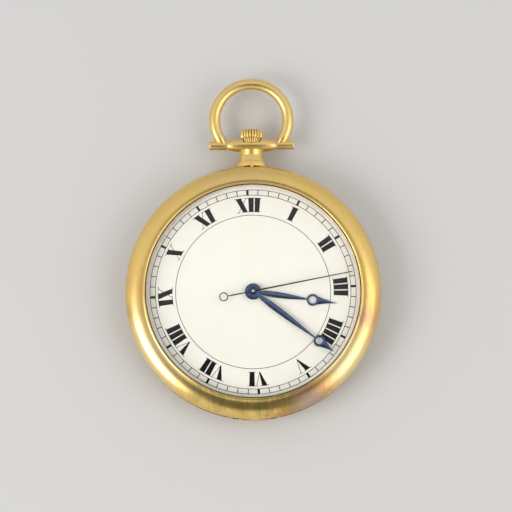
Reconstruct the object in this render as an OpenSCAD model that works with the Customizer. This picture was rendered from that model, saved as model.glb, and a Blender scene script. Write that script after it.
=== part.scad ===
// Open face pocket watch, wound and set at the crown.
// Origin at the centre of the flat on the back cover; +Z out through the dial, +Y to the pendant.

/* [Case] */
// Radius of the bezel at its widest
case_r = 23.5; // [21.5:0.1:28.2]
// Height of the seam between the case middle and the bezel
band_top = 5.25; // [5.25:0.05:5.6]
// Radius of the flat that the watch rests on
rest_r = 13; // [10:0.5:16]
// Thickness of the back cover
cover_t = 0.45; // [0.35:0.05:0.5]
// Thickness of the inner dust cover
cuvette_t = 0.3; // [0.2:0.05:0.35]
// Radius of the opening that the dial is seen through
opening_r = 19.85; // [19.3:0.05:20]
// Thickness of the glass
glass_t = 0.6; // [0.4:0.05:0.7]
// Rise of the dome of the glass
glass_rise = 0.6; // [0.3:0.05:1.2]

/* [Pendant] */
// Distance from the case edge to the bow's axis
bow_axis_gap = 4.2; // [4:0.1:6]
// Radius of the bow's wire
bow_wire_r = 1.04; // [0.8:0.02:1.2]
// Radius of the bow, to the middle of its wire
bow_r = 6.8; // [6.4:0.1:8.5]
// Half the length of the spindle between the bow's ends
spindle_half = 4.43; // [4.2:0.05:5]
// Length of each barrel at the bow's ends
bow_barrel_l = 3.3; // [2.6:0.1:3.6]
// Radius of each barrel at the bow's ends
bow_barrel_r = 0.84; // [0.75:0.01:1]
// Widest radius of the crown
crown_r = 2.08; // [1.8:0.02:2.5]
// Height of the crown
crown_h = 2.45; // [2.2:0.05:3.2]
// Number of flutes round the crown
crown_flutes = 22; // [16:1:30]
// Distance that the crown pulls out
crown_pull = 0.8; // [0.5:0.1:1]

/* [Dial and hands] */
// Turn of the dial in its case
dial_turn = 2.65; // [-5:0.05:5]
// Angle of the hour hand, clockwise from twelve
hour_angle = 101.3; // [0:0.1:360]
// Angle of the minute hand, clockwise from twelve
minute_angle = 130.3; // [0:0.1:360]
// Angle of the seconds hand, clockwise from twelve
second_angle = 81.9; // [0:0.1:360]
// Length of the hour hand
hour_len = 15.6; // [12:0.1:17]
// Length of the minute hand
minute_len = 18.65; // [15:0.05:19]
// Length of the seconds hand
second_len = 18.6; // [15:0.1:19.2]
// Thickness of the dial
dial_t = 0.4; // [0.3:0.05:0.5]
// Thickness of the hour and minute hands
hand_t = 0.18; // [0.12:0.01:0.2]

/* [Movement] */
// Radius of the main plate
plate_r = 19.3; // [19:0.05:19.35]
// Radius of the balance wheel
balance_r = 6.6; // [5.5:0.1:6.7]
// Radius of the stem where it turns in the plate and pendant
stem_r = 0.55; // [0.45:0.05:0.6]
// Radial clearance of running fits
run = 0.03; // [0.02:0.01:0.05]
// Radius of the train pivots
pivot_r = 0.12; // [0.1:0.01:0.15]
// Radius of the ruby bearings
jewel_r = 0.65; // [0.55:0.05:0.8]

/* [Hidden] */
$fn = 96;
e = 0.01;               // overlap of cutting shapes past the face they cut
fit = 0.01;             // radial clearance of fixed fits
rest_h = 0.02;          // height of the resting flat below the dome of the back

// Heights of the layers, from the back cover up
cuvette_z = 0.95;                    // outer face of the dust cover
top_z0 = 1.50;                       // wheels on top of the bridges
top_z1 = 1.75;
bridge_z0 = 1.80;
bridge_z1 = 2.50;
plate_z0 = 4.30;
plate_z1 = 5.00;
dial_z0 = 5.50;
dial_z1 = dial_z0 + dial_t;
hour_z = 6.15;
minute_z = 6.55;
second_z = 6.95;
stem_z = 3.75;
pallet_bridge_z = 2.92;
glass_z0 = 6.85;                     // seat of the glass in the bezel
glass_z1 = glass_z0 + glass_t;
lip_z = 8.05;                        // top of the bezel's lip

// Radii of the case
band_r = case_r - 0.4;
band_z0 = 2.55;                      // seam between the case middle and the back cover
seam = 0.05;                         // gap at the back cover's seam
wall_r = plate_r + 0.1;              // inner wall of the case middle
flange_r = wall_r + 0.8;             // flange of the plate, on the ledge of the case middle
dial_seat_r = flange_r + 0.1;
snap_top_r = case_r - 1.8;           // rim that the bezel snaps over
snap_top_z = band_top + 0.9;
snap_low_r = case_r - 1.6;           // rim that the back cover snaps over
snap_low_z = 1.75;
cuvette_r = flange_r + 0.65;
ledge_z = 2.05;                      // ledge that the dust cover and case screws bear on
glass_r = opening_r + 0.55;

// Hinges at six o'clock
back_axis = [-(case_r - 0.55), band_z0 - 0.03];
back_knuckle_r = 0.5;
back_pin_r = 0.2;
back_half = 4.0;
cuv_axis = [-(cuvette_r - 0.1), snap_low_z - 0.03];
cuv_knuckle_r = 0.3;
cuv_pin_r = 0.12;
cuv_half = 3.0;

// Pendant, crown and stem, along the line of the stem
pendant_y = case_r + bow_axis_gap;   // axis of the bow
foot_y = case_r + 1.0;
crown_y = pendant_y + 0.45;
crown_saddle_y = crown_y - 0.05;
plug_r = 1.0;
plug_y = case_r - 1.9;
spindle_r = 1.3;
bow_pin_r = 0.4;
bow_gap = 0.12;                      // gap between the spindle and the bow's barrels
bow_lift = 4.73;                     // centre of the bow above its axis

// Train centres, seen from the dial
train_m = 0.15;
barrel_m = 0.18;
barrel_n = 80;
centre_leaves = 12;
barrel_d = barrel_m * (barrel_n + centre_leaves) / 2;
barrel_a = 34;
barrel_c = barrel_d * [cos(barrel_a), sin(barrel_a)];
centre_n = 80;
third_leaves = 10;
third_d = train_m * (centre_n + third_leaves) / 2;
third_a = 150;
third_c = third_d * [cos(third_a), sin(third_a)];
third_m = 0.13;
third_n = 75;
fourth_leaves = 10;
fourth_d = third_m * (third_n + fourth_leaves) / 2;
fourth_a = 215;
fourth_c = third_c + fourth_d * [cos(fourth_a), sin(fourth_a)];
fourth_m = 0.11;
fourth_n = 80;
escape_leaves = 8;
escape_d = fourth_m * (fourth_n + escape_leaves) / 2;
escape_a = 275;
escape_c = fourth_c + escape_d * [cos(escape_a), sin(escape_a)];
escape_r = 2.5;
escape_n = 15;
balance_c = 10.4 * [cos(250), sin(250)];
lever_a = atan2(balance_c[1] - escape_c[1], balance_c[0] - escape_c[0]);
pallet_d = 2.95;
pallet_c = escape_c + pallet_d * [cos(lever_a), sin(lever_a)];
impulse_r = 0.9;
fork_l = norm(balance_c - pallet_c) - impulse_r;
seconds_n = 75;
seconds_leaves = 10;
seconds_m = 2 * third_d / (seconds_n + seconds_leaves);
balance_clear = balance_r + 0.3;

// Winding: ratchet wheel on the barrel, crown wheel beside it, winding pinion on the stem
ratchet_m = 0.22;
ratchet_n = 54;
crown_wheel_n = 36;
crown_wheel_x = 0.4;
crown_wheel_d = ratchet_m * (ratchet_n + crown_wheel_n) / 2;
crown_wheel_c = [crown_wheel_x,
    barrel_c[1] + sqrt(pow(crown_wheel_d, 2) - pow(barrel_c[0] - crown_wheel_x, 2))];
crown_wheel_a = atan2(crown_wheel_c[1] - barrel_c[1], crown_wheel_c[0] - barrel_c[0]);
crown_wheel_r = ratchet_m * crown_wheel_n / 2;
skirt_z = 2.18;                      // underside of the crown wheel's lower teeth
winding_n = 14;
winding_r = stem_z - skirt_z - 0.02;
winding_y = [15.35, 16.9];
clutch_y = [12.5, 15.2];
groove_y = [13.3, 13.9];
lever_groove_y = [17.0, 17.6];

// Motion works, between the plate and the dial
motion_m = 0.16;
cannon_n = 12;
minute_n = 36;
motion_d = motion_m * (cannon_n + minute_n) / 2;
minute_leaves = 10;
hour_n = 40;
hour_m = 2 * motion_d / (minute_leaves + hour_n);
minute_wheel_a = 100;
minute_wheel_c = motion_d * [cos(minute_wheel_a), sin(minute_wheel_a)];
setting_n = 32;
setting_d = motion_m * (minute_n + setting_n) / 2;
setting_c = [0, minute_wheel_c[1] + sqrt(pow(setting_d, 2) - pow(minute_wheel_c[0], 2))];
setting_a = atan2(setting_c[1] - minute_wheel_c[1], setting_c[0] - minute_wheel_c[0]);
minute_phase = minute_wheel_a + 180;
// Turn that puts a gap of the setting wheel over a tooth of the minute wheel
setting_shift = ((setting_a - minute_phase) % (360 / minute_n)) * minute_n / setting_n;
cannon_r = 0.75;                     // outside of the cannon pinion's pipe
centre_r = 0.5;                      // outside of the hollow centre arbor
seconds_r = 0.22;                    // seconds arbor inside it
hour_pipe_r = 1.0;
dial_hole_r = 1.15;
hub_r = 1.32;

// Places of the fasteners
plate_wall_r = 17.9;                 // inside of the plate's rim, which carries the bridges
cock_foot = 15.9 * [cos(298), sin(298)];
barrel_screws = [for (a = [-22, 46, 76]) 17.0 * [cos(a), sin(a)]];
train_screws = [for (a = [128, 160, 190]) 17.0 * [cos(a), sin(a)]];
case_screw_a = [-48, 212];
lever_n = [-sin(lever_a), cos(lever_a)];
pallet_posts = [for (s = [-1, 1]) pallet_c + s * 3.2 * lever_n];
lever_pivot = [2.8, 17.3];
yoke_pivot = [-4.2, 13.6];
click_pivot = barrel_c + 8.3 * [cos(-8), sin(-8)];

// ---------- shapes that repeat ----------

// Points of an arc, from angle a to angle b, as an ellipse of half axes rx and ry
function arc(cx, cy, rx, ry, a, b, n = 12) =
    [for (i = [0:n]) [cx + rx * cos(a + (b - a) * i / n), cy + ry * sin(a + (b - a) * i / n)]];

// Outline of a toothed wheel; one tooth is centred on the angle phase
function teeth(n, m, phase, root, tip, add) =
    [for (i = [0:n - 1], p = [[-root, -1.2], [-tip, add], [tip, add], [root, -1.2]])
        let (a = phase + 360 / n * (i + p[0]), r = m * (n / 2 + p[1])) [r * cos(a), r * sin(a)]];

module wheel_2d(n, m, phase) polygon(teeth(n, m, phase, 0.26, 0.12, 0.95));
module pinion_2d(n, m, phase) polygon(teeth(n, m, phase, 0.2, 0.1, 0.65));

module tube(r_out, r_in, z0, z1) translate([0, 0, z0]) difference() {
    cylinder(r = r_out, h = z1 - z0);
    translate([0, 0, -e]) cylinder(r = r_in, h = z1 - z0 + 2 * e);
}

module rod(r, z0, z1) translate([0, 0, z0]) cylinder(r = r, h = z1 - z0);

// A rod along Y at the height of the stem
module stem_rod(r, y0, y1) translate([0, y0, stem_z]) rotate([-90, 0, 0]) cylinder(r = r, h = y1 - y0);

// The windows between the spokes of a wheel
module windows(rim, hub, arms, arm_w) difference() {
    circle(rim);
    circle(hub);
    for (i = [0:arms - 1]) rotate(360 / arms * i) translate([0, -arm_w / 2]) square([rim + 1, arm_w]);
}

// A spoked train wheel on its pinion and arbor, with a pivot at each end
module train_wheel(n, m, phase, z, t, leaves, leaf_m, leaf_phase, leaf_z, arms = 5) {
    translate([0, 0, z]) linear_extrude(t) difference() {
        wheel_2d(n, m, phase);
        windows(m * (n / 2 - 3.2), m * leaves / 2 + 0.7, arms, 0.55);
    }
    translate([0, 0, leaf_z[0]]) linear_extrude(leaf_z[1] - leaf_z[0]) pinion_2d(leaves, leaf_m, leaf_phase);
    rod(0.3, bridge_z1 + 0.05, plate_z0 - 0.05);
    rod(pivot_r, bridge_z0 + 0.05, plate_z1 - 0.1);
}

// A slotted screw with its head towards the back of the watch
module screw(head_r, head_t, shank_r, length, slot = 0.16) difference() {
    union() {
        cylinder(r = head_r, h = head_t);
        cylinder(r = shank_r, h = head_t + length);
    }
    translate([-head_r - e, -slot / 2, -e]) cube([2 * head_r + 2 * e, slot, head_t * 0.55]);
}

// Knuckles of a hinge along X: every second length, starting at the given one
module knuckles(axis, half, r, first, gap = 0) for (i = [first:2:4])
    translate([-half + i * half * 2 / 5 + 0.03 - gap, axis[0], axis[1]]) rotate([0, 90, 0])
        cylinder(r = r, h = half * 2 / 5 - 0.06 + 2 * gap);

module hinge_bore(axis, half, r) translate([-half - 1, axis[0], axis[1]]) rotate([0, 90, 0])
    cylinder(r = r, h = 2 * half + 2);

// ---------- case ----------

module back_cover() color("#d8b45c") difference() {
    union() {
        difference() {
            rotate_extrude($fn = 180) polygon(concat([[0, rest_h]],
                arc(rest_r, 2.1, case_r - 0.15 - rest_r, 2.1 - rest_h, -90, 0, 16),
                [[case_r - 0.2, band_z0 - seam], [snap_low_r + 0.1, band_z0 - seam]],
                arc(rest_r, 1.75, snap_low_r + 0.1 - rest_r, 1.75 - cover_t, 0, -90, 14),
                [[0, cover_t]]));
            // channel for the hinge
            translate([-back_half - 0.1, -case_r - 1, back_axis[1] - 0.62])
                cube([2 * back_half + 0.2, 1.55 + 0.55, 2]);
        }
        // the flat that it rests on, with 24 corners so that it stands steadily
        linear_extrude(0.1) polygon([for (i = [0:23]) (rest_r - 0.05) * [cos(i * 15), sin(i * 15)]]);
        intersection() {
            union() {
                knuckles(back_axis, back_half, back_knuckle_r, 0);
                for (i = [0:2:4]) translate([-back_half + i * back_half * 2 / 5 + 0.03,
                    back_axis[0] - back_knuckle_r, back_axis[1] - 1.0])
                    cube([back_half * 2 / 5 - 0.06, 2 * back_knuckle_r, 1.0]);
            }
            rotate_extrude($fn = 180) polygon(concat(
                arc(rest_r, 2.1, case_r - 0.15 - rest_r, 2.1, -40, 0, 8),
                [[case_r, 3.5], [snap_low_r + 0.1, 3.5], [rest_r + 4, 3.5]]));
        }
    }
    hinge_bore(back_axis, back_half, back_pin_r);
}

module middle_profile() polygon(concat(
    [[wall_r, ledge_z], [wall_r, plate_z1], [dial_seat_r, plate_z1], [dial_seat_r, snap_top_z],
     [snap_top_r, snap_top_z], [snap_top_r, band_top], [band_r, band_top]],
    arc(band_r - 0.5, (band_top + band_z0) / 2, 0.6, (band_top - band_z0) / 2 - 0.12, 60, -60, 8),
    [[band_r, band_z0], [snap_low_r, band_z0], [snap_low_r, snap_low_z],
     [cuvette_r + 0.05, snap_low_z], [cuvette_r + 0.05, ledge_z]]));

module case_middle() color("#d8b45c") difference() {
    union() {
        difference() {
            rotate_extrude($fn = 180) middle_profile();
            // channel for the knuckles of the back cover
            translate([-back_half - 0.1, -case_r - 1, band_z0 - 1])
                cube([2 * back_half + 0.2, 2.15, 1.62]);
            translate([-cuv_half - 0.05, cuv_axis[0] - 0.36, cuv_axis[1] - 1])
                cube([2 * cuv_half + 0.1, 0.75, 1.36]);
        }
        knuckles(back_axis, back_half, back_knuckle_r, 1);
        for (i = [1, 3]) {
            translate([-back_half + i * back_half * 2 / 5 + 0.03, back_axis[0] - 0.35, back_axis[1]])
                cube([back_half * 2 / 5 - 0.06, 1.2, 0.8]);
            translate([-cuv_half + i * cuv_half * 2 / 5 + 0.03, cuv_axis[0] - 0.3, cuv_axis[1]])
                cube([cuv_half * 2 / 5 - 0.06, 0.6, 0.4]);
        }
        knuckles(cuv_axis, cuv_half, cuv_knuckle_r, 1);
    }
    hinge_bore(back_axis, back_half, back_pin_r);
    hinge_bore(cuv_axis, cuv_half, cuv_pin_r);
    stem_rod(plug_r + fit, plug_y, case_r);
    stem_rod(stem_r + 0.07, wall_r - 1, plug_y + 1);
}

module back_hinge_pin() color("#b8b8b8") translate([-back_half, back_axis[0], back_axis[1]])
    rotate([0, 90, 0]) cylinder(r = back_pin_r - 0.02, h = 2 * back_half);

module cuvette_hinge_pin() color("#b8b8b8") translate([-cuv_half, cuv_axis[0], cuv_axis[1]])
    rotate([0, 90, 0]) cylinder(r = cuv_pin_r - 0.02, h = 2 * cuv_half);

module cuvette() color("#cfae62") difference() {
    union() {
        difference() {
            rotate_extrude($fn = 180) polygon(concat([[0, cuvette_z]],
                arc(cuvette_r - 3.4, cuvette_z + 0.6, 3.4, 0.6, -90, 0, 10),
                [[cuvette_r, ledge_z - 0.02], [cuvette_r - 0.35, ledge_z - 0.02]],
                arc(cuvette_r - 3.4, cuvette_z + 0.75, 3.05, 0.75 - cuvette_t, 0, -90, 10),
                [[0, cuvette_z + cuvette_t]]));
            translate([-cuv_half - 0.05, cuv_axis[0] - 1, cuv_axis[1] - 0.38])
                cube([2 * cuv_half + 0.1, 1.42, 1]);
        }
        knuckles(cuv_axis, cuv_half, cuv_knuckle_r, 0);
        for (i = [0:2:4]) translate([-cuv_half + i * cuv_half * 2 / 5 + 0.03, cuv_axis[0],
            cuv_axis[1] - cuv_knuckle_r]) cube([cuv_half * 2 / 5 - 0.06, 0.75, 0.22]);
    }
    hinge_bore(cuv_axis, cuv_half, cuv_pin_r);
}

module bezel() color("#dcb860") rotate_extrude($fn = 180) polygon(concat(
    [[opening_r + 0.25, snap_top_z + 0.05], [opening_r + 0.25, glass_z0], [glass_r + 0.05, glass_z0],
     [glass_r + 0.05, glass_z1 + 0.02], [opening_r, glass_z1 + 0.1], [opening_r, lip_z - 0.15]],
    arc(opening_r + 0.17, lip_z - 0.17, 0.17, 0.17, 180, 60, 4),
    arc(opening_r + 0.45, 5.7, case_r - opening_r - 0.45, lip_z - 5.8, 88, 0, 16),
    [[case_r - 0.15, band_top + 0.02], [snap_top_r + 0.04, band_top + 0.02],
     [snap_top_r + 0.04, snap_top_z + 0.05]]));

function dome(r, rise) = (r * r + rise * rise) / (2 * rise);

module crystal() color("#dfe8ee", 0.3) rotate_extrude($fn = 180) {
    inner = opening_r - 0.3;
    big = dome(inner, glass_rise);
    span = asin(inner / big);
    polygon(concat(
        arc(0, glass_z0 + 0.3 - big + glass_rise, big, big, 90, 90 - span, 12),
        [[glass_r - 0.3, glass_z0 + 0.01], [glass_r, glass_z0 + 0.01], [glass_r, glass_z1],
         [opening_r - 0.05, glass_z1 + 0.02]],
        arc(0, glass_z1 + 0.28 - big + glass_rise, big, big, 90 - span, 90, 12)));
}

// ---------- pendant, bow and crown ----------

module pendant() color("#d8b45c") difference() {
    union() {
        difference() {
            union() {
                translate([0, case_r - 1.2, stem_z]) rotate([-90, 0, 0]) rotate_extrude()
                    polygon(concat([[0, 0], [2.8, 0], [2.78, 1.5]],
                        arc(2.5, 1.95, 0.2, 0.25, 0, 90, 4),
                        [[2.42, 2.25], [2.12, 3.4], [2.2, 4.4], [0, 4.4]]));
                translate([0, pendant_y, stem_z]) rotate([0, 90, 0]) rotate_extrude()
                    polygon(concat([[0, -spindle_half]],
                        arc(0.62, 0, spindle_r - 0.62, spindle_half * 1.05, -72, 72, 12),
                        [[0, spindle_half]]));
            }
            cylinder(r = case_r + 0.05, h = 20, center = true, $fn = 180);
            // saddle that the crown turns in
            translate([0, crown_saddle_y, stem_z]) rotate([-90, 0, 0]) cylinder(r = crown_r - 0.1, h = 4);
        }
        stem_rod(plug_r, plug_y, case_r + 0.5);
    }
    stem_rod(stem_r + 0.07, plug_y - 1, crown_y + 1);
    for (s = [-1, 1]) translate([s * (spindle_half + 1), pendant_y, stem_z]) rotate([0, -90 * s, 0])
        cylinder(r = bow_pin_r + fit, h = 3.0);
}

module bow_pins() color("#c9a95a") for (s = [-1, 1])
    translate([s * (spindle_half - 1.95), pendant_y, stem_z]) rotate([0, 90 * s, 0])
        cylinder(r = bow_pin_r, h = 1.95 + bow_gap + bow_barrel_l - 0.75);

module bow() color("#dcb860") {
    inner_x = spindle_half + bow_gap;
    difference() {
        union() {
            difference() {
                translate([0, pendant_y + bow_lift, stem_z]) rotate_extrude($fn = 120)
                    translate([bow_r, 0]) circle(bow_wire_r, $fn = 48);
                translate([-20, pendant_y - 20, stem_z - 3]) cube([40, 20 + 0.2, 6]);
                translate([-inner_x, pendant_y - 1, stem_z - 3]) cube([2 * inner_x, 2.4, 6]);
            }
            for (s = [-1, 1]) translate([s * inner_x, pendant_y, stem_z]) rotate([0, 90 * s, 0])
                cylinder(r = bow_barrel_r, h = bow_barrel_l);
        }
        for (s = [-1, 1]) translate([s * (inner_x - 0.5), pendant_y, stem_z]) rotate([0, 90 * s, 0])
            cylinder(r = bow_pin_r + run, h = 0.5 + bow_barrel_l - 0.7);
    }
}

module crown() color("#dcb860") translate([0, crown_y, stem_z]) rotate([-90, 0, 0]) difference() {
    rotate_extrude() polygon(concat([[0, 0], [crown_r - 0.5, 0], [crown_r - 0.42, 0.55]],
        arc(crown_r - 0.35, crown_h * 0.56, 0.35, 0.6, -60, 0, 4),
        arc(crown_r - 0.45, crown_h - 0.45, 0.45, 0.45, 10, 90, 6), [[0, crown_h]]));
    for (i = [0:crown_flutes - 1]) rotate(360 / crown_flutes * i) translate([crown_r + 0.02, 0, -e])
        cylinder(r = 0.17, h = crown_h + 2 * e, $fn = 24);
    for (i = [0:crown_flutes - 1]) rotate(360 / crown_flutes * i) translate([crown_r - 0.42, 0, -e])
        cylinder(r = 0.1, h = 0.6, $fn = 24);
    translate([0, 0, -e]) cylinder(r = stem_r - 0.1 + fit, h = 1.8);
}

module winding_stem() color("#b9bec6") difference() {
    union() {
        stem_rod(stem_r - 0.1, crown_y - 0.1, crown_y + 1.7);
        stem_rod(stem_r, clutch_y[1] + 0.1, crown_y);
        translate([-0.4, 12.2, stem_z - 0.4]) cube([0.8, 3.2, 0.8]);
        stem_rod(0.3, 10.5, 12.4);
    }
    translate([0, lever_groove_y[0], stem_z]) rotate([-90, 0, 0])
        tube(stem_r + 0.3, 0.3, 0, lever_groove_y[1] - lever_groove_y[0]);
}

// ---------- keyless works ----------

module winding_pinion() color("#b9bec6") difference() {
    translate([0, winding_y[0], stem_z]) rotate([-90, 0, 0]) {
        linear_extrude(winding_y[1] - winding_y[0])
            pinion_2d(winding_n, 2 * winding_r / (winding_n + 1.3), 0);
    }
    stem_rod(stem_r + run, winding_y[0] - 1, winding_y[1] + 1);
}

module sliding_clutch() color("#b9bec6") difference() {
    union() {
        translate([0, clutch_y[0], stem_z]) rotate([-90, 0, 0]) linear_extrude(0.6)
            pinion_2d(16, 2 * 1.22 / (16 + 1.3), 0);
        stem_rod(0.85, clutch_y[0] + 0.5, clutch_y[1] - 0.5);
        stem_rod(1.12, groove_y[1], clutch_y[1]);
        stem_rod(1.12, clutch_y[0] + 0.3, groove_y[0]);
    }
    translate([-0.43, clutch_y[0] - 1, stem_z - 0.43]) cube([0.86, 5, 0.86]);
    for (a = [0:30:330]) translate([0, clutch_y[1], stem_z]) rotate([-90, a, 0])
        translate([0.85, -0.09, -0.12]) cube([0.6, 0.18, 0.3]);
}

module setting_lever() color("#aeb4bd") difference() {
    union() {
        translate([lever_pivot[0], lever_pivot[1], plate_z1 + 0.05]) cylinder(r = 0.8, h = 0.25);
        translate([0, lever_pivot[1] - 0.25, plate_z1 + 0.05]) cube([lever_pivot[0], 0.5, 0.25]);
        translate([0, lever_pivot[1], plate_z1 + 0.05]) cylinder(r = 0.3, h = 0.25);
        translate([0, lever_pivot[1], stem_z + 0.36]) cylinder(r = 0.2, h = 1.2);
    }
    translate([lever_pivot[0], lever_pivot[1], plate_z1 - 1]) cylinder(r = 0.35 + run, h = 2);
}

module setting_lever_screw() color("#30406e") translate([lever_pivot[0], lever_pivot[1], 0]) {
    rod(0.35, plate_z0 + 0.05, dial_z0 - 0.1);
    rod(0.62, dial_z0 - 0.17, dial_z0 - 0.05);
}

module yoke() color("#aeb4bd") difference() {
    union() {
        translate([yoke_pivot[0], yoke_pivot[1], 5.15]) cylinder(r = 0.8, h = 0.22);
        translate([yoke_pivot[0], yoke_pivot[1] - 0.3, 5.15]) cube([-yoke_pivot[0], 0.6, 0.22]);
        translate([0, yoke_pivot[1], stem_z + 0.93]) cylinder(r = 0.18, h = 0.6);
        translate([0, yoke_pivot[1], 5.15]) cylinder(r = 0.3, h = 0.22);
    }
    translate([yoke_pivot[0], yoke_pivot[1], 4]) cylinder(r = 0.3 + run, h = 2);
}

module yoke_spring() color("#7f8794") translate([0, 0, plate_z1]) linear_extrude(0.35) union() {
    translate([-7.2, 15.5]) circle(0.7);
    polygon(concat(arc(-7.2, 13.4, 2.16, 2.16, 8, 95, 10), arc(-7.2, 13.4, 2.0, 2.0, 95, 8, 10)));
}

module setting_wheel() color("#c9b37a") translate([setting_c[0], setting_c[1], 0]) difference() {
    translate([0, 0, 5.05]) linear_extrude(0.15)
        wheel_2d(setting_n, motion_m, setting_a + 180 + 180 / setting_n + setting_shift);
    rod(0.45 + run, 4, 6);
}

module minute_wheel() color("#c9b37a") translate([minute_wheel_c[0], minute_wheel_c[1], 0]) difference() {
    union() {
        translate([0, 0, 5.05]) linear_extrude(0.15) wheel_2d(minute_n, motion_m, minute_phase);
        translate([0, 0, 5.1]) linear_extrude(0.35)
            pinion_2d(minute_leaves, hour_m, minute_wheel_a + 180 + 180 / minute_leaves);
    }
    rod(0.3 + run, 4, 6);
}

module cannon_pinion() color("#b9bec6") difference() {
    union() {
        translate([0, 0, 5.05]) linear_extrude(0.15)
            pinion_2d(cannon_n, motion_m, minute_wheel_a + 180 / cannon_n);
        rod(cannon_r, 5.05, minute_z + hand_t + 0.05);
    }
    rod(centre_r + run, 4, 8);
}

module hour_wheel() color("#c9b37a") difference() {
    union() {
        translate([0, 0, 5.26]) linear_extrude(0.16) wheel_2d(hour_n, hour_m, minute_wheel_a);
        rod(hour_pipe_r, 5.26, hour_z + hand_t + 0.03);
    }
    rod(cannon_r + run, 4, 8);
}

// ---------- dial and hands ----------

module dial() color("#f3efe2") {
    edge = dial_seat_r - 0.1;
    difference() {
        rotate_extrude($fn = 180) polygon([[dial_hole_r, dial_z0], [edge, dial_z0],
            [edge, dial_z1 - 0.18], [edge - 1.0, dial_z1], [dial_hole_r, dial_z1]]);
    }
    for (a = [60, 240]) rotate(a) translate([18.0, 0, 0]) rod(0.4, plate_z0 + 0.1, dial_z0 + 0.1);
}

// A hand pointing along +Y: a leaf, a ring and a point
module ring_hand(length, ring_y, ring_r, hole_r, boss_r, bore_r, waist) difference() {
    leaf_y = ring_y - ring_r * 0.9;
    side = [for (i = [0:12]) let (s = i / 12)
        [waist + 0.47 * sin(180 * pow(s, 0.62)), boss_r * 0.8 + s * (leaf_y - boss_r * 0.8)]];
    tip_y = ring_y + ring_r * 0.55;
    point = [for (i = [0:6]) let (s = i / 6) [0.78 * pow(1 - s, 1.4) + 0.03, tip_y + s * (length - tip_y)]];
    union() {
        circle(boss_r);
        polygon(concat(side, [for (i = [12:-1:0]) [-side[i][0], side[i][1]]]));
        translate([0, ring_y]) circle(ring_r);
        polygon(concat(point, [for (i = [6:-1:0]) [-point[i][0], point[i][1]]]));
    }
    translate([0, ring_y]) circle(hole_r);
    circle(bore_r);
}

module hour_hand() color("#26365f") rotate(dial_turn - hour_angle) translate([0, 0, hour_z])
    linear_extrude(hand_t) ring_hand(hour_len, hour_len - 4.55, 1.09, 0.71, 1.5, hour_pipe_r + fit, 0.15);

module minute_hand() color("#26365f") rotate(dial_turn - minute_angle) translate([0, 0, minute_z])
    linear_extrude(hand_t) ring_hand(minute_len, minute_len - 3.45, 1.07, 0.63, hub_r, cannon_r + fit, 0.13);

module seconds_hand() color("#20263a") rotate(dial_turn - second_angle) difference() {
    union() {
        translate([0, 0, second_z]) linear_extrude(0.1) difference() {
            union() {
                polygon([[-0.14, 0], [-0.07, second_len], [0.07, second_len], [0.14, 0]]);
                translate([-0.12, -4.8]) square([0.24, 4.8]);
                translate([0, -5.5]) circle(0.83);
            }
            translate([0, -5.5]) circle(0.64);
        }
        rod(0.5, second_z - 0.1, second_z + 0.22);
    }
    rod(seconds_r + fit, 1, 9);
}

// ---------- plate and bridges ----------

train_pivots = [third_c, fourth_c, escape_c];

module bearing_holes(points, z0, z1) for (p = points) translate([p[0], p[1], 0]) rod(jewel_r + fit, z0, z1);

module main_plate() color("#d6d0bd") difference() {
    union() {
        rod(plate_r, plate_z0, plate_z1);
        tube(flange_r, plate_wall_r + 0.6, plate_z1, dial_z0);
        tube(plate_r, plate_wall_r + 0.6, plate_z1 - 0.1, dial_z0);
        tube(plate_r, plate_wall_r, bridge_z1, plate_z0 + 0.1);
        translate([cock_foot[0], cock_foot[1], 0]) rod(2.1, bridge_z1, plate_z0 + 0.1);
        for (p = pallet_posts) translate([p[0], p[1], 0]) rod(0.6, pallet_bridge_z + 0.22, plate_z0 + 0.1);
        stem_rod(0.75, 10.4, 11.8);
        translate([-0.75, 10.4, stem_z]) cube([1.5, 1.4, plate_z0 - stem_z + 0.1]);
        translate([setting_c[0], setting_c[1], 0]) rod(0.45, plate_z1 - 0.1, 5.22);
        translate([minute_wheel_c[0], minute_wheel_c[1], 0]) rod(0.3, plate_z1 - 0.1, 5.45);
        translate([yoke_pivot[0], yoke_pivot[1], 0]) rod(0.3, plate_z1 - 0.1, 5.4);
    }
    bearing_holes(concat(train_pivots, [pallet_c, balance_c]), plate_z0 - 1, plate_z1 + 1);
    rod(centre_r + run, 4, 6);
    translate([barrel_c[0], barrel_c[1], 0]) rod(0.8 + run, 4, 6);
    // slot for the clutch and winding pinion
    translate([-1.45, 11.9, plate_z0 - 0.2]) cube([2.9, 6.0, 2]);
    translate([-1.75, 15.2, plate_z0 - 0.2]) cube([3.5, 1.85, 2]);
    translate([-0.5, 17.0, plate_z0 - 0.2]) cube([1, 1.5, 0.95]);
    stem_rod(stem_r + run, 17, 21);
    stem_rod(0.3 + run, 10, 12.3);
    translate([lever_pivot[0], lever_pivot[1], 0]) rod(0.35 + fit, 4, 6);
    for (a = [60, 240]) rotate(a) translate([18.0, 0, 0]) rod(0.43, 3.9, 6);
    for (p = concat(barrel_screws, train_screws)) translate([p[0], p[1], 0]) rod(0.36, 2, 3.4);
    for (a = case_screw_a) rotate(a) translate([18.6, 0, 0]) rod(0.36, 2, 3.4);
    translate([cock_foot[0], cock_foot[1], 0]) rod(0.46, 2, 3.6);
    // holes for the screws that grip the dial's feet
    for (a = [60, 240]) rotate(a) translate([16.6, 0, 4.65]) rotate([0, 90, 0]) cylinder(r = 0.21, h = 3.6);
}

module half_disc(side) intersection() {
    circle(18.4, $fn = 180);
    rotate(barrel_a) translate([side > 0 ? 1.7 : -40, -40]) square([side > 0 ? 40 : 41.5, 80]);
}

module bridge_holes(screws) {
    for (p = screws) translate([p[0], p[1], 0]) {
        rod(0.38, 1, 3);
        rod(0.75, 1, bridge_z0 + 0.3);
    }
    for (a = case_screw_a) rotate(a) translate([18.6, 0, 0]) rod(1.45, 1, 3);
}

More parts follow.
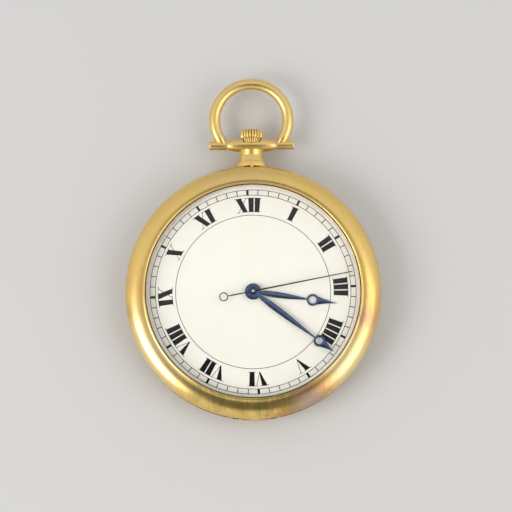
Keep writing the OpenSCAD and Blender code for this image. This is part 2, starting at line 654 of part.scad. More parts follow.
module barrel_bridge() color("#d9d2ba") difference() {
    translate([0, 0, bridge_z0]) linear_extrude(bridge_z1 - bridge_z0) difference() {
        half_disc(1);
        translate(cock_foot) circle(3.2);
        rotate(-62) translate([4, -3]) square([20, 9]);
    }
    translate([barrel_c[0], barrel_c[1], 0]) rod(0.8 + run, 1, 3);
    translate([crown_wheel_c[0], crown_wheel_c[1], 0]) {
        tube(crown_wheel_r + 0.35, 3.1, 1.5, skirt_z + 0.08);
        rod(0.36, 1, bridge_z1 - 0.1);
    }
    translate([-1.75, 15.2, 1.9]) cube([3.5, 1.85, 2]);
    translate([click_pivot[0], click_pivot[1], 0]) rod(0.31, 1, 2.3);
    bridge_holes(barrel_screws);
}

module train_bridge() color("#d9d2ba") difference() {
    translate([0, 0, bridge_z0]) linear_extrude(bridge_z1 - bridge_z0) difference() {
        half_disc(-1);
        translate(balance_c) circle(balance_clear);
        translate([0.5, -22]) square([20, 19]);
        translate([-14, -22]) square([30, 7.0]);
    }
    bearing_holes([fourth_c, escape_c], 1, 3);
    translate([third_c[0], third_c[1], 0]) rod(jewel_r + fit, 1, 3);
    rod(centre_r + run, 1, 3);
    bridge_holes(train_screws);
}

module balance_cock() color("#d9d2ba") difference() {
    d = cock_foot - balance_c;
    a = atan2(d[1], d[0]);
    union() {
        translate([0, 0, top_z0]) linear_extrude(0.5) {
            translate(balance_c) circle(2.0);
            translate(balance_c) rotate(a) polygon([[0, -1.9], [norm(d), -2.3], [norm(d), 2.3], [0, 1.9]]);
            translate(cock_foot) circle(2.3);
        }
        translate([cock_foot[0], cock_foot[1], 0]) rod(2.1, top_z0, bridge_z1);
    }
    translate([balance_c[0], balance_c[1], 0]) rod(jewel_r + fit, 1, 3);
    translate([cock_foot[0], cock_foot[1], 0]) {
        rod(0.48, 1, 4);
        rod(1.0, 1, top_z0 + 0.3);
    }
}

module pallet_bridge() color("#d9d2ba") difference() {
    translate([0, 0, pallet_bridge_z]) linear_extrude(0.22) {
        translate(pallet_c) rotate(lever_a + 90) translate([-3.2, -0.75]) square([6.4, 1.5]);
        for (p = concat(pallet_posts, [pallet_c])) translate(p) circle(0.85);
    }
    translate([pallet_c[0], pallet_c[1], 0]) rod(0.45 + fit, 2, 4);
    for (p = pallet_posts) translate([p[0], p[1], 0]) rod(0.3, 2, 4);
}

// ---------- barrel and winding wheels ----------

module barrel_drum() color("#c8a95f") translate([barrel_c[0], barrel_c[1], 0]) difference() {
    union() {
        translate([0, 0, 3.75]) linear_extrude(0.4) wheel_2d(barrel_n, barrel_m, barrel_a + 180);
        rod(barrel_m * (barrel_n / 2 - 1.5), 3.05, 4.2);
    }
    rod(6.5, 3.27, 3.98);
    rod(6.7, 3, 3.27 + e);
    rod(0.8 + run, 2, 5);
}

module barrel_cover() color("#c8a95f") translate([barrel_c[0], barrel_c[1], 0])
    tube(6.7 - fit, 0.8 + run, 3.05, 3.26);

module barrel_arbor() color("#b9bec6") translate([barrel_c[0], barrel_c[1], 0]) {
    rod(0.8, bridge_z0, plate_z1 - 0.1);
    rod(1.2, 3.3, 3.95);
    translate([-0.45, -0.45, top_z0]) cube([0.9, 0.9, bridge_z0 - top_z0]);
}

// A flat spiral strip, worked out turn by turn
module spiral(r0, r1, turns, thick, z, h, start = 0) {
    n = turns * 24;
    inner = [for (i = [0:n]) let (a = start + 360 * turns * i / n, r = r0 + (r1 - r0) * i / n) r * [cos(a), sin(a)]];
    outer = [for (i = [n:-1:0]) let (a = start + 360 * turns * i / n, r = r0 + (r1 - r0) * i / n + thick)
        r * [cos(a), sin(a)]];
    translate([0, 0, z]) linear_extrude(h) polygon(concat(inner, outer));
}

module mainspring() color("#8f98a6") translate([barrel_c[0], barrel_c[1], 0])
    spiral(1.25, 6.2, 7, 0.16, 3.35, 0.55);

module ratchet_wheel() color("#c4c4bd") translate([barrel_c[0], barrel_c[1], 0]) difference() {
    translate([0, 0, top_z0]) linear_extrude(top_z1 - top_z0)
        wheel_2d(ratchet_n, ratchet_m, crown_wheel_a);
    translate([-0.46, -0.46, 1]) cube([0.92, 0.92, 1]);
}

module ratchet_screw() color("#30406e") translate([barrel_c[0], barrel_c[1], top_z0 - 0.14]) difference() {
    cylinder(r = 1.1, h = 0.14);
    translate([-1.2, -0.1, -e]) cube([2.4, 0.2, 0.08]);
}

module crown_wheel() color("#c4c4bd") translate([crown_wheel_c[0], crown_wheel_c[1], 0]) difference() {
    union() {
        translate([0, 0, top_z0]) linear_extrude(top_z1 - top_z0)
            wheel_2d(crown_wheel_n, ratchet_m, crown_wheel_a + 180 + 180 / crown_wheel_n);
        translate([0, 0, top_z1 - e]) linear_extrude(skirt_z - top_z1 + e) difference() {
            wheel_2d(crown_wheel_n, ratchet_m, crown_wheel_a + 180 + 180 / crown_wheel_n);
            circle(3.3);
        }
    }
    rod(0.5, 1, 3);
}

module crown_wheel_screw() color("#30406e") translate([crown_wheel_c[0], crown_wheel_c[1], top_z0 - 0.14])
    screw(1.1, 0.12, 0.34, 0.9);

module click() color("#aeb4bd") difference() {
    d = barrel_c - click_pivot;
    a = atan2(d[1], d[0]);
    reach = norm(d) - ratchet_m * (ratchet_n / 2 + 0.95) - 0.06;
    translate([click_pivot[0], click_pivot[1], top_z0]) linear_extrude(top_z1 - top_z0) rotate(a) union() {
        circle(0.85);
        polygon([[0.5, -0.6], [reach, 0.3], [reach - 0.1, 0.9], [0.1, 0.75], [0.5, 0]]);
        translate([-0.3, -2.0]) square([0.6, 1.5]);
    }
    translate([click_pivot[0], click_pivot[1], 0]) rod(0.3 + run, 1, 3);
}

module click_spring() color("#7f8794") {
    translate([click_pivot[0], click_pivot[1], 0]) rod(0.3, top_z0 - 0.02, 2.28);
    translate([barrel_c[0], barrel_c[1], top_z0]) linear_extrude(0.28) {
        translate(7.93 * [cos(44), sin(44)]) circle(0.6);
        polygon(concat(arc(0, 0, 8, 8, 4, 44, 12), arc(0, 0, 7.86, 7.86, 44, 4, 12)));
    }
}

// ---------- train and escapement ----------

module centre_wheel() color("#c9b37a") difference() {
    union() {
        translate([0, 0, 2.6]) linear_extrude(0.25) difference() {
            wheel_2d(centre_n, train_m, third_a);
            windows(train_m * (centre_n / 2 - 3), 1.7, 5, 0.7);
        }
        translate([0, 0, 3.2]) linear_extrude(1.0)
            pinion_2d(centre_leaves, barrel_m, barrel_a + 180 / centre_leaves);
        rod(0.9, 2.55, 3.3);
        rod(centre_r, bridge_z0 + 0.02, 6.3);
    }
    rod(seconds_r + 0.04, 1, 8);
}

module third_wheel() color("#c9b37a") translate([third_c[0], third_c[1], 0]) {
    train_wheel(third_n, third_m, fourth_a, 3.35, 0.2, third_leaves, train_m,
        third_a + 180 + 180 / third_leaves, [2.55, 3.3]);
    rod(0.24, top_z0, bridge_z0 + 0.1);
}

module seconds_driving_wheel() color("#c9b37a") translate([third_c[0], third_c[1], 0]) difference() {
    translate([0, 0, top_z0]) linear_extrude(0.2) difference() {
        wheel_2d(seconds_n, seconds_m, third_a + 180);
        windows(seconds_m * (seconds_n / 2 - 3), 1.2, 5, 0.6);
    }
    rod(0.24 + fit, 1, 3);
}

module fourth_wheel() color("#c9b37a") translate([fourth_c[0], fourth_c[1], 0])
    train_wheel(fourth_n, fourth_m, escape_a, 3.95, 0.18, fourth_leaves, third_m,
        fourth_a + 180 + 180 / fourth_leaves, [3.25, 3.85]);

module seconds_pinion() color("#b9bec6") {
    translate([0, 0, top_z0]) linear_extrude(0.2)
        pinion_2d(seconds_leaves, seconds_m, third_a + 180 / seconds_leaves);
    rod(seconds_r, top_z0, second_z + 0.2);
}

module escape_wheel() color("#b9bec6") translate([escape_c[0], escape_c[1], 0]) {
    translate([0, 0, 3.3]) linear_extrude(0.2) difference() {
        polygon([for (i = [0:escape_n - 1], p = [[0, 0], [0.14, 0.02], [0.4, -0.75], [0.85, -0.75]])
            let (a = lever_a + 12 + 360 / escape_n * (i + p[0]), r = escape_r + p[1]) r * [cos(a), sin(a)]]);
        windows(1.45, 0.6, 4, 0.3);
    }
    translate([0, 0, 3.85]) linear_extrude(0.35) pinion_2d(escape_leaves, fourth_m,
        escape_a + 180 + 180 / escape_leaves);
    rod(0.25, bridge_z1 + 0.05, plate_z0 - 0.05);
    rod(pivot_r, bridge_z0 + 0.05, plate_z1 - 0.1);
}

module pallet_fork() color("#b9bec6") translate([pallet_c[0], pallet_c[1], 0]) {
    rotate(lever_a) translate([0, 0, 3.3]) linear_extrude(0.2) difference() {
        union() {
            circle(0.5);
            polygon([[0, 0.3], [fork_l - 0.7, 0.16], [fork_l - 0.35, 0.5], [fork_l + 0.22, 0.42],
                [fork_l + 0.22, -0.42], [fork_l - 0.35, -0.5], [fork_l - 0.7, -0.16], [0, -0.3]]);
            for (s = [-1, 1]) polygon([[0.4, s * 0.1], [0.4, s * 0.5], [0.1, s * 2.1], [-0.5, s * 2.1],
                [-0.5, s * 1.6], [-0.25, s * 1.5], [-0.35, s * 0.1]]);
        }
        translate([fork_l - 0.28, -0.15]) square([1, 0.3]);
        stones_2d(fit);
    }
    rod(0.22, 3.16, plate_z0 - 0.02);
    rod(pivot_r, 2.96, plate_z1 - 0.1);
}

module stones_2d(grow) for (s = [-1, 1]) translate([-0.42, s * 1.85]) rotate(s * 12)
    translate([-0.42 - grow, -0.12 - grow]) square([0.6 + 2 * grow, 0.24 + 2 * grow]);

module pallet_stones() color("#b3263a") translate([pallet_c[0], pallet_c[1], 3.3]) rotate(lever_a)
    linear_extrude(0.2) stones_2d(0);

module balance_wheel() color("#d2b065") translate([balance_c[0], balance_c[1], 0]) {
    translate([0, 0, 2.15]) linear_extrude(0.35) difference() {
        circle(balance_r - 0.25);
        circle(balance_r - 0.85);
    }
    translate([0, 0, 2.26]) linear_extrude(0.18) difference() {
        union() {
            circle(1.0);
            rotate(lever_a + 55) translate([-balance_r + 0.6, -0.4]) square([2 * balance_r - 1.2, 0.8]);
        }
        circle(0.4 + fit);
    }
    for (i = [0:17]) rotate(lever_a + 20 * i) translate([balance_r - 0.3, 0, 2.32]) rotate([0, 90, 0])
        cylinder(r = 0.15, h = 0.35, $fn = 24);
}

module balance_staff() color("#b9bec6") translate([balance_c[0], balance_c[1], 0]) {
    rod(0.4, 2.03, 2.95);
    rod(0.25, 2.9, plate_z0 - 0.02);
    rod(pivot_r, top_z0 + 0.1, plate_z1 - 0.1);
    difference() {
        rod(1.12, 2.9, 3.05);
        rotate(lever_a + 180) translate([impulse_r, 0, 0]) rod(0.13, 2, 4);
    }
}

module impulse_jewel() color("#b3263a") translate([balance_c[0], balance_c[1], 0])
    rotate(lever_a + 180) translate([impulse_r, 0, 0]) rod(0.12, 2.92, 3.48);

module hairspring() color("#3c4c86") translate([balance_c[0], balance_c[1], 0]) {
    spiral(0.43, 3.6, 9, 0.06, 2.06, 0.12, 40);
    rotate(40) translate([3.7, 0, 0]) rod(0.22, 2.0, 2.2);
}

module regulator() color("#b9bec6") translate([balance_c[0], balance_c[1], 0]) {
    translate([0, 0, top_z0 - 0.12]) linear_extrude(0.11) difference() {
        union() {
            circle(1.5);
            rotate(lever_a + 165) polygon([[1.2, -0.5], [5.4, -0.08], [5.4, 0.08], [1.2, 0.5]]);
            rotate(40) translate([1.2, -0.3]) square([1.7, 0.6]);
        }
        circle(0.9);
    }
}

// A ring of ruby with a hole for a pivot
module jewel(p, r, hole, z0, z1) translate([p[0], p[1], 0]) tube(r, hole, z0, z1);

module jewels() color("#c02a48") {
    hole = pivot_r + 0.02;
    for (p = [fourth_c, escape_c]) jewel(p, jewel_r, hole, 1.95, 2.35);
    jewel(third_c, jewel_r, 0.26, 1.95, 2.35);
    for (p = [third_c, fourth_c, escape_c, pallet_c, balance_c]) jewel(p, jewel_r, hole, 4.5, 4.85);
    jewel(pallet_c, 0.45, hole, 2.94, 3.12);
    jewel(balance_c, jewel_r, hole, 1.6, 1.92);
}

module bridge_screws() color("#30406e") {
    for (p = concat(barrel_screws, train_screws)) translate([p[0], p[1], bridge_z0 + 0.02])
        rotate(p[0] * 37) screw(0.7, 0.28, 0.34, 1.2);
    translate([cock_foot[0], cock_foot[1], top_z0 + 0.02]) rotate(25) screw(0.95, 0.28, 0.44, 1.6, 0.2);
    for (p = pallet_posts) translate([p[0], p[1], pallet_bridge_z - 0.08])
        rotate(p[1] * 50) screw(0.5, 0.08, 0.28, 0.2, 0.12);
}

module case_screws() color("#30406e") for (a = case_screw_a) rotate(a) translate([18.6, 0, 1.8]) rotate(a * 3) {
    screw(1.3, ledge_z - 1.8, 0.34, 1.2, 0.2);
    translate([0, 0, ledge_z - 1.8 - e]) cylinder(r = 0.6, h = bridge_z1 - ledge_z + e);
}

module dial_screws() color("#30406e") for (a = [60, 240]) rotate(a) translate([18.43, 0, 4.65])
    rotate([0, 90, 0]) cylinder(r = 0.2, h = 0.8);

back_cover();
case_middle();
pendant();
bow();
bow_pins();
bezel();
crystal();
cuvette();
back_hinge_pin();
cuvette_hinge_pin();
crown();
winding_stem();
winding_pinion();
sliding_clutch();
setting_lever();
setting_lever_screw();
yoke();
yoke_spring();
setting_wheel();
minute_wheel();
cannon_pinion();
hour_wheel();
dial();
hour_hand();
minute_hand();
seconds_hand();
main_plate();
barrel_bridge();
train_bridge();
balance_cock();
pallet_bridge();
barrel_drum();
barrel_cover();
barrel_arbor();
mainspring();
ratchet_wheel();
ratchet_screw();
crown_wheel();
crown_wheel_screw();
click();
click_spring();
centre_wheel();
third_wheel();
seconds_driving_wheel();
fourth_wheel();
escape_wheel();
pallet_fork();
pallet_stones();
balance_wheel();
balance_staff();
impulse_jewel();
hairspring();
regulator();
seconds_pinion();
jewels();
bridge_screws();
case_screws();
dial_screws();
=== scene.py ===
"""The looks of an open face pocket watch.

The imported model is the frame: the watch lies on its back, +Z goes out through the dial and +Y to
the pendant. Lengths in this file are in millimetres, and MM turns them into metres.
"""

import bmesh
import bpy
import numpy as np
from mathutils import Matrix, Vector


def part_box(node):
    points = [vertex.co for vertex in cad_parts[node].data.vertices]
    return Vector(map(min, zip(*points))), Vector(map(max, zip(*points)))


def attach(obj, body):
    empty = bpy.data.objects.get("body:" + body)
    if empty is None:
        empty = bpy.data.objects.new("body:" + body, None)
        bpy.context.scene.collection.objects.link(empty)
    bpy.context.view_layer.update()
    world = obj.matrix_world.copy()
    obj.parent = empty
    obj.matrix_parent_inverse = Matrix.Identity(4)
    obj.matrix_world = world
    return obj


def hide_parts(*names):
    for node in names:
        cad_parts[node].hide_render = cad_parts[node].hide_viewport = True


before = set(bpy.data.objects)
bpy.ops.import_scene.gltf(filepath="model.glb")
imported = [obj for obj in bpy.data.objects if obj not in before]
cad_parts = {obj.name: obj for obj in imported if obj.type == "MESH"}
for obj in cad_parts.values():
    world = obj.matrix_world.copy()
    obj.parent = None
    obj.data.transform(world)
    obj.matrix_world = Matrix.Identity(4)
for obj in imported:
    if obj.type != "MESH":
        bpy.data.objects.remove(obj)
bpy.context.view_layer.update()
MM = 0.001

# ---------- sizes ----------

STEM_Z = 3.75  # height of the stem, pendant and bow
DIAL_TURN = np.radians(2.65)  # turn of the dial in its case
HOUR_ANGLE, MINUTE_ANGLE, SECOND_ANGLE = np.radians([101.3, 130.3, 81.9])

CASE_R = 23.5
OPENING_R = 19.85
BEZEL_LOW, LIP_Z = 5.27, 8.05
DIAL_Z = 5.9
DIAL_R = 20.2
DIAL_HOLE_R = 1.15
FOOT_R = 18.0  # how far the dial's feet are from its centre

HOUR_Z, MINUTE_Z, SECOND_Z = 6.15, 6.55, 6.95
HAND_T = 0.18
PIVOT_Z = 7.15

BOW_AXIS_Y = 27.7
BOW_CENTRE_Y = BOW_AXIS_Y + 4.73
BOW_R, BOW_WIRE_R = 6.8, 1.04
BARREL_IN, BARREL_L, BARREL_R = 4.55, 3.3, 0.84
CROWN_Y, CROWN_FLUTES = 28.15, 22

# ---------- surfaces from grids ----------


def grid_shell(points, wrap_u=False, wrap_v=False):
    """A shell is (vertices, quads). The quad (i, j) joins grid points (i, j), (i+1, j), (i+1, j+1)
    and (i, j+1); wrap_u and wrap_v join the last row or column to the first."""
    nu, nv = points.shape[:2]
    i, j = np.meshgrid(np.arange(nu - (not wrap_u)), np.arange(nv - (not wrap_v)), indexing="ij")
    i2, j2 = (i + 1) % nu, (j + 1) % nv
    quads = np.stack([i * nv + j, i2 * nv + j, i2 * nv + j2, i * nv + j2], -1)
    return points.reshape(-1, 3), quads.reshape(-1, 4)


def joined(shells):
    """One shell from several: each one's quads are counted on from the vertices before it."""
    starts = np.cumsum([0] + [len(v) for v, _ in shells[:-1]])
    return (np.concatenate([v for v, _ in shells]),
            np.concatenate([q + start for (_, q), start in zip(shells, starts)]))


def piece(name, shell, body, material, replaces=(), smooth_angle=35, groove=None):
    """Puts a shell into a mesh, in metres, and lets it ride on a body of the frame. Edges sharper
    than smooth_angle degrees stay sharp. groove is a depth for each vertex, which a finish may
    read."""
    vertices, quads = shell
    mesh = bpy.data.meshes.new(name)
    mesh.vertices.add(len(vertices))
    mesh.vertices.foreach_set("co", (vertices * MM).astype(np.float32).ravel())
    mesh.loops.add(quads.size)
    mesh.loops.foreach_set("vertex_index", quads.astype(np.int32).ravel())
    mesh.polygons.add(len(quads))
    mesh.polygons.foreach_set("loop_start", np.arange(0, quads.size, 4, dtype=np.int32))
    mesh.update(calc_edges=True)
    if groove is not None:
        stored = mesh.attributes.new("groove", "FLOAT", "POINT")
        stored.data.foreach_set("value", groove.astype(np.float32).ravel())
    mesh.validate()
    made = bpy.data.objects.new(name, mesh)
    bpy.context.scene.collection.objects.link(made)
    tidy_mesh(mesh)
    mesh.set_sharp_from_angle(angle=np.radians(smooth_angle))
    mesh.materials.append(material)
    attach(made, body)
    if replaces:
        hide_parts(*replaces)


def tidy_mesh(mesh):
    """Merges the points that meet at poles and seams, turns every face outwards and smooths it."""
    work = bmesh.new()
    work.from_mesh(mesh)
    bmesh.ops.remove_doubles(work, verts=work.verts, dist=1e-7)
    bmesh.ops.recalc_face_normals(work, faces=work.faces)
    work.to_mesh(mesh)
    work.free()
    mesh.polygons.foreach_set("use_smooth", np.ones(len(mesh.polygons), bool))


def rounded(corners, radii, steps=5):
    """A closed outline whose corners are rounded. At each corner the arc is the quadratic curve
    from a point one radius back along the side before it, by the corner, to one radius along the
    side after."""
    corners = np.array(corners, float)
    before = np.roll(corners, 1, 0) - corners
    after = np.roll(corners, -1, 0) - corners
    reach = np.array(radii, float)[:, None]
    start = corners + before / np.linalg.norm(before, axis=1, keepdims=True) * reach
    end = corners + after / np.linalg.norm(after, axis=1, keepdims=True) * reach
    t = np.linspace(0, 1, steps)[None, :, None]
    curve = ((1 - t) ** 2 * start[:, None] + 2 * t * (1 - t) * corners[:, None]
             + t ** 2 * end[:, None])
    return curve.reshape(-1, 2)


def revolved(outline, steps=240, closed=True):
    """A profile of (radius, height) turned round +Z: x = r cos a, y = r sin a, z = height."""
    outline = np.asarray(outline, float)
    a = np.linspace(0, 2 * np.pi, steps, endpoint=False)[:, None]
    r, z = outline[None, :, 0], outline[None, :, 1]
    points = np.stack([r * np.cos(a), r * np.sin(a), z + 0 * a], -1)
    return grid_shell(points, wrap_u=True, wrap_v=closed)


def placed(shell, matrix):
    """A shell moved by a 4 by 4 matrix whose lengths are in millimetres."""
    m = np.array(matrix)
    return shell[0] @ m[:3, :3].T + m[:3, 3], shell[1]


def along_y(y=0.0):
    """The matrix that turns +Z to +Y at the stem's height: (x, y, z) goes to (x, z, -y)."""
    return Matrix.Translation((0, y, STEM_Z)) @ Matrix.Rotation(-np.pi / 2, 4, "X")


def along_x(x=0.0, y=0.0):
    """The matrix that turns +Z to +X at the stem's height."""
    return Matrix.Translation((x, y, STEM_Z)) @ Matrix.Rotation(np.pi / 2, 4, "Y")


def hand_turn(angle, z):
    """The matrix that turns +Y to an hour angle, clockwise from twelve on the dial."""
    return Matrix.Translation((0, 0, z)) @ Matrix.Rotation(DIAL_TURN - angle, 4, "Z")


# ---------- shader helpers ----------


def node(tree, kind, inputs=None, **settings):
    """A shader node with its settings made and its inputs linked to sockets or set to values."""
    made = tree.nodes.new(kind)
    for key, value in settings.items():
        setattr(made, key, value)
    for key, value in (inputs or {}).items():
        if isinstance(value, bpy.types.NodeSocket):
            tree.links.new(value, made.inputs[key])
        else:
            made.inputs[key].default_value = value
    return made


def maths(tree, operation, a, b=0.0, clamp=False):
    made = node(tree, "ShaderNodeMath", {0: a, 1: b}, operation=operation, use_clamp=clamp)
    return made.outputs[0]


def added(tree, base, value, share):
    """base + value * share."""
    return maths(tree, "ADD", base, maths(tree, "MULTIPLY", value, share))


def vectors(tree, operation, a, b=(0.0, 0.0, 0.0)):
    """Vector arithmetic: a number for a dot product, a distance or a length, and a vector for the
    rest."""
    made = node(tree, "ShaderNodeVectorMath", {0: a, 1: b}, operation=operation)
    return made.outputs[operation in ("DOT_PRODUCT", "DISTANCE", "LENGTH")]


def spread(tree, value, low, high, to_low=0.0, to_high=1.0):
    """value moved smoothly from low..high to to_low..to_high."""
    return node(tree, "ShaderNodeMapRange", {"Value": value, "From Min": low, "From Max": high,
                "To Min": to_low, "To Max": to_high}, interpolation_type="SMOOTHSTEP").outputs[0]


def tint(tree, amount, a, b):
    """Colour a going over to colour b by amount."""
    return node(tree, "ShaderNodeMix", {0: amount, 6: a, 7: b}, data_type="RGBA").outputs[2]


def noise(tree, vector, scale, detail=3.0, roughness=0.55):
    return node(tree, "ShaderNodeTexNoise", {"Vector": vector, "Scale": scale, "Detail": detail,
                "Roughness": roughness}).outputs["Fac"]


def groove_value(tree):
    """The groove value that piece() stores on a mesh."""
    return node(tree, "ShaderNodeAttribute", attribute_name="groove").outputs["Fac"]


def object_place(tree):
    """Where a point is, in the coordinates of its object."""
    return node(tree, "ShaderNodeTexCoord").outputs["Object"]


def new_group(name, inputs, outputs):
    """A shader node group with named sockets: name to (socket type, default). Returns the tree, its
    input sockets by name and a function that sends sockets out."""
    tree = bpy.data.node_groups.new(name, "ShaderNodeTree")
    for key, (kind, value) in inputs.items():
        tree.interface.new_socket(name=key, in_out="INPUT", socket_type=kind).default_value = value
    for key, kind in outputs.items():
        tree.interface.new_socket(name=key, in_out="OUTPUT", socket_type=kind)
    took = tree.nodes.new("NodeGroupInput").outputs
    gives = tree.nodes.new("NodeGroupOutput").inputs

    def send(**sockets):
        for key, socket in sockets.items():
            tree.links.new(socket, gives[key])

    return tree, took, send


def use(tree, group, **values):
    """A group placed in a material, with its values set or linked by name; an underscore is a
    space."""
    made = tree.nodes.new("ShaderNodeGroup")
    made.node_tree = group
    for key, value in values.items():
        socket = made.inputs[key.replace("_", " ")]
        if isinstance(value, bpy.types.NodeSocket):
            tree.links.new(value, socket)
        else:
            socket.default_value = value
    return made.outputs


FLOAT, VECTOR = "NodeSocketFloat", "NodeSocketVector"


def scratches_group():
    """Fine rubbing marks, kept where the noise peaks: it is drawn out 60 times along one axis and
    20 times along another, in three directions."""
    tree, took, send = new_group(
        "fine_scratches", {"Scale": (FLOAT, 900.0), "Amount": (FLOAT, 1.0)},
        {"Marks": FLOAT, "Height": FLOAT})
    place = object_place(tree)
    marks = []
    for turn in (0.5, 1.9, 2.8):
        line = node(tree, "ShaderNodeMapping", {
            "Vector": place, "Rotation": (0.3 * turn, 0.2, turn),
            "Scale": (1.0, 1 / 60, 1 / 20)}).outputs[0]
        marks.append(spread(tree, noise(tree, line, took["Scale"], 2.0), 0.62, 0.74))
    most = maths(tree, "MAXIMUM", maths(tree, "MAXIMUM", marks[0], marks[1]), marks[2])
    scaled = maths(tree, "MULTIPLY", most, took["Amount"])
    send(Marks=scaled, Height=maths(tree, "MULTIPLY", scaled, -1.0))
    return tree


def patches_group():
    """Soft blotches, such as tarnish: detailed noise, kept above a level. It rises from 0 to 1
    over the softness."""
    tree, took, send = new_group(
        "patches", {"Scale": (FLOAT, 200.0), "Level": (FLOAT, 0.55), "Softness": (FLOAT, 0.15),
                    "Amount": (FLOAT, 1.0)}, {"Mask": FLOAT})
    place = object_place(tree)
    coarse = noise(tree, place, took["Scale"], 6.0, 0.62)
    rise = maths(tree, "DIVIDE", maths(tree, "SUBTRACT", coarse, took["Level"]),
                 took["Softness"], clamp=True)
    send(Mask=maths(tree, "MULTIPLY", rise, took["Amount"]))
    return tree


def stain_group():
    """One stain: 1 round its centre, falling to 0 near its reach, with an edge broken by streaky
    noise."""
    tree, took, send = new_group(
        "stain", {"Centre": (VECTOR, (0.0, 0.0, 0.0)), "Reach": (FLOAT, 0.005),
                  "Amount": (FLOAT, 1.0)}, {"Mask": FLOAT})
    place = object_place(tree)
    away = vectors(tree, "DISTANCE", place, took["Centre"])
    streaks = node(tree, "ShaderNodeMapping", {
        "Vector": place, "Scale": (2.0, 0.45, 1.0)}).outputs[0]
    ragged = spread(tree, noise(tree, streaks, 620.0, 6.0, 0.68), 0.25, 0.75, -0.4, 0.4)
    share = maths(tree, "ADD", maths(tree, "DIVIDE", away, took["Reach"]), ragged)
    send(Mask=maths(tree, "MULTIPLY", spread(tree, share, 1.1, 0.15), took["Amount"]))
    return tree


def turning_group():
    """Marks of a lathe: noise that depends only on the distance from a centre, across X and Y."""
    tree, took, send = new_group("turning_marks", {"Centre": (VECTOR, (0.0, 0.0, 0.0)),
                                 "Scale": (FLOAT, 9000.0)}, {"Height": FLOAT})
    place = object_place(tree)
    offset = vectors(tree, "SUBTRACT", place, took["Centre"])
    flat = vectors(tree, "MULTIPLY", offset, (1.0, 1.0, 0.0))
    radius = vectors(tree, "LENGTH", flat)
    rings = node(tree, "ShaderNodeTexNoise", {"W": maths(tree, "MULTIPLY", radius, took["Scale"]),
                 "Scale": 1.0, "Detail": 3.0}, noise_dimensions="1D").outputs["Fac"]
    send(Height=rings)
    return tree


def stripes_group():
    """Broad finishing stripes of a bridge: across them the height is a half wave, and fine noise
    drawn out along them is the cut of the wheel that made them. The stripes' shade output rises
    across each stripe; it is painted shade."""
    tree, took, send = new_group("finishing_stripes", {"Across": (VECTOR, (0.83, 0.56, 0.0)),
                                 "Width": (FLOAT, 0.0024)}, {"Height": FLOAT, "Shade": FLOAT})
    place = object_place(tree)
    across = vectors(tree, "DOT_PRODUCT", place, took["Across"])
    share = maths(tree, "FRACT", maths(tree, "DIVIDE", across, took["Width"]))
    wave = maths(tree, "SINE", maths(tree, "MULTIPLY", share, np.pi))
    grain = node(tree, "ShaderNodeTexNoise", {"W": maths(tree, "MULTIPLY", across, 14000.0),
                 "Scale": 1.0, "Detail": 3.0}, noise_dimensions="1D").outputs["Fac"]
    send(Height=added(tree, wave, grain, 0.012), Shade=share)
    return tree


def grain_group():
    """Frosting or paint grain: fine even noise."""
    tree, took, send = new_group("fine_grain", {"Scale": (FLOAT, 6000.0)}, {"Height": FLOAT})
    place = object_place(tree)
    send(Height=noise(tree, place, took["Scale"], 4.0, 0.6))
    return tree


SCRATCHES, PATCHES, STAIN = scratches_group(), patches_group(), stain_group()
TURNING, STRIPES, GRAIN = turning_group(), stripes_group(), grain_group()


def bumped(tree, height, strength, distance):
    return node(tree, "ShaderNodeBump", {"Height": height, "Strength": strength,
                "Distance": distance * MM}).outputs[0]


def finished(material, **inputs):
    """Puts a Principled shader at the material's end, with the inputs named."""
    tree = material.node_tree
    shader = node(tree, "ShaderNodeBsdfPrincipled",
                  {key.replace("_", " "): value for key, value in inputs.items()})
    tree.links.new(shader.outputs[0], tree.nodes["Material Output"].inputs["Surface"])
    return material


def new_material(name):
    material = bpy.data.materials.new(name)
    material.use_nodes = True
    tree = material.node_tree
    tree.nodes.remove(tree.nodes["Principled BSDF"])
    return material, tree


# ---------- materials ----------

GOLD = (0.87, 0.605, 0.185, 1)
GOLD_PALE = (0.93, 0.74, 0.37, 1)
GOLD_RED = (0.62, 0.29, 0.09, 1)
# painted shade and dirt: the dark line along the seams between the parts of the case
SEAM_SHADE_AND_DIRT = (0.055, 0.022, 0.008, 1)
# painted shade and dirt in the flutes of the crown
GROOVE_SHADE_AND_DIRT = (0.36, 0.21, 0.07, 1)
NO_SEAM = -10.0  # a height that no piece reaches


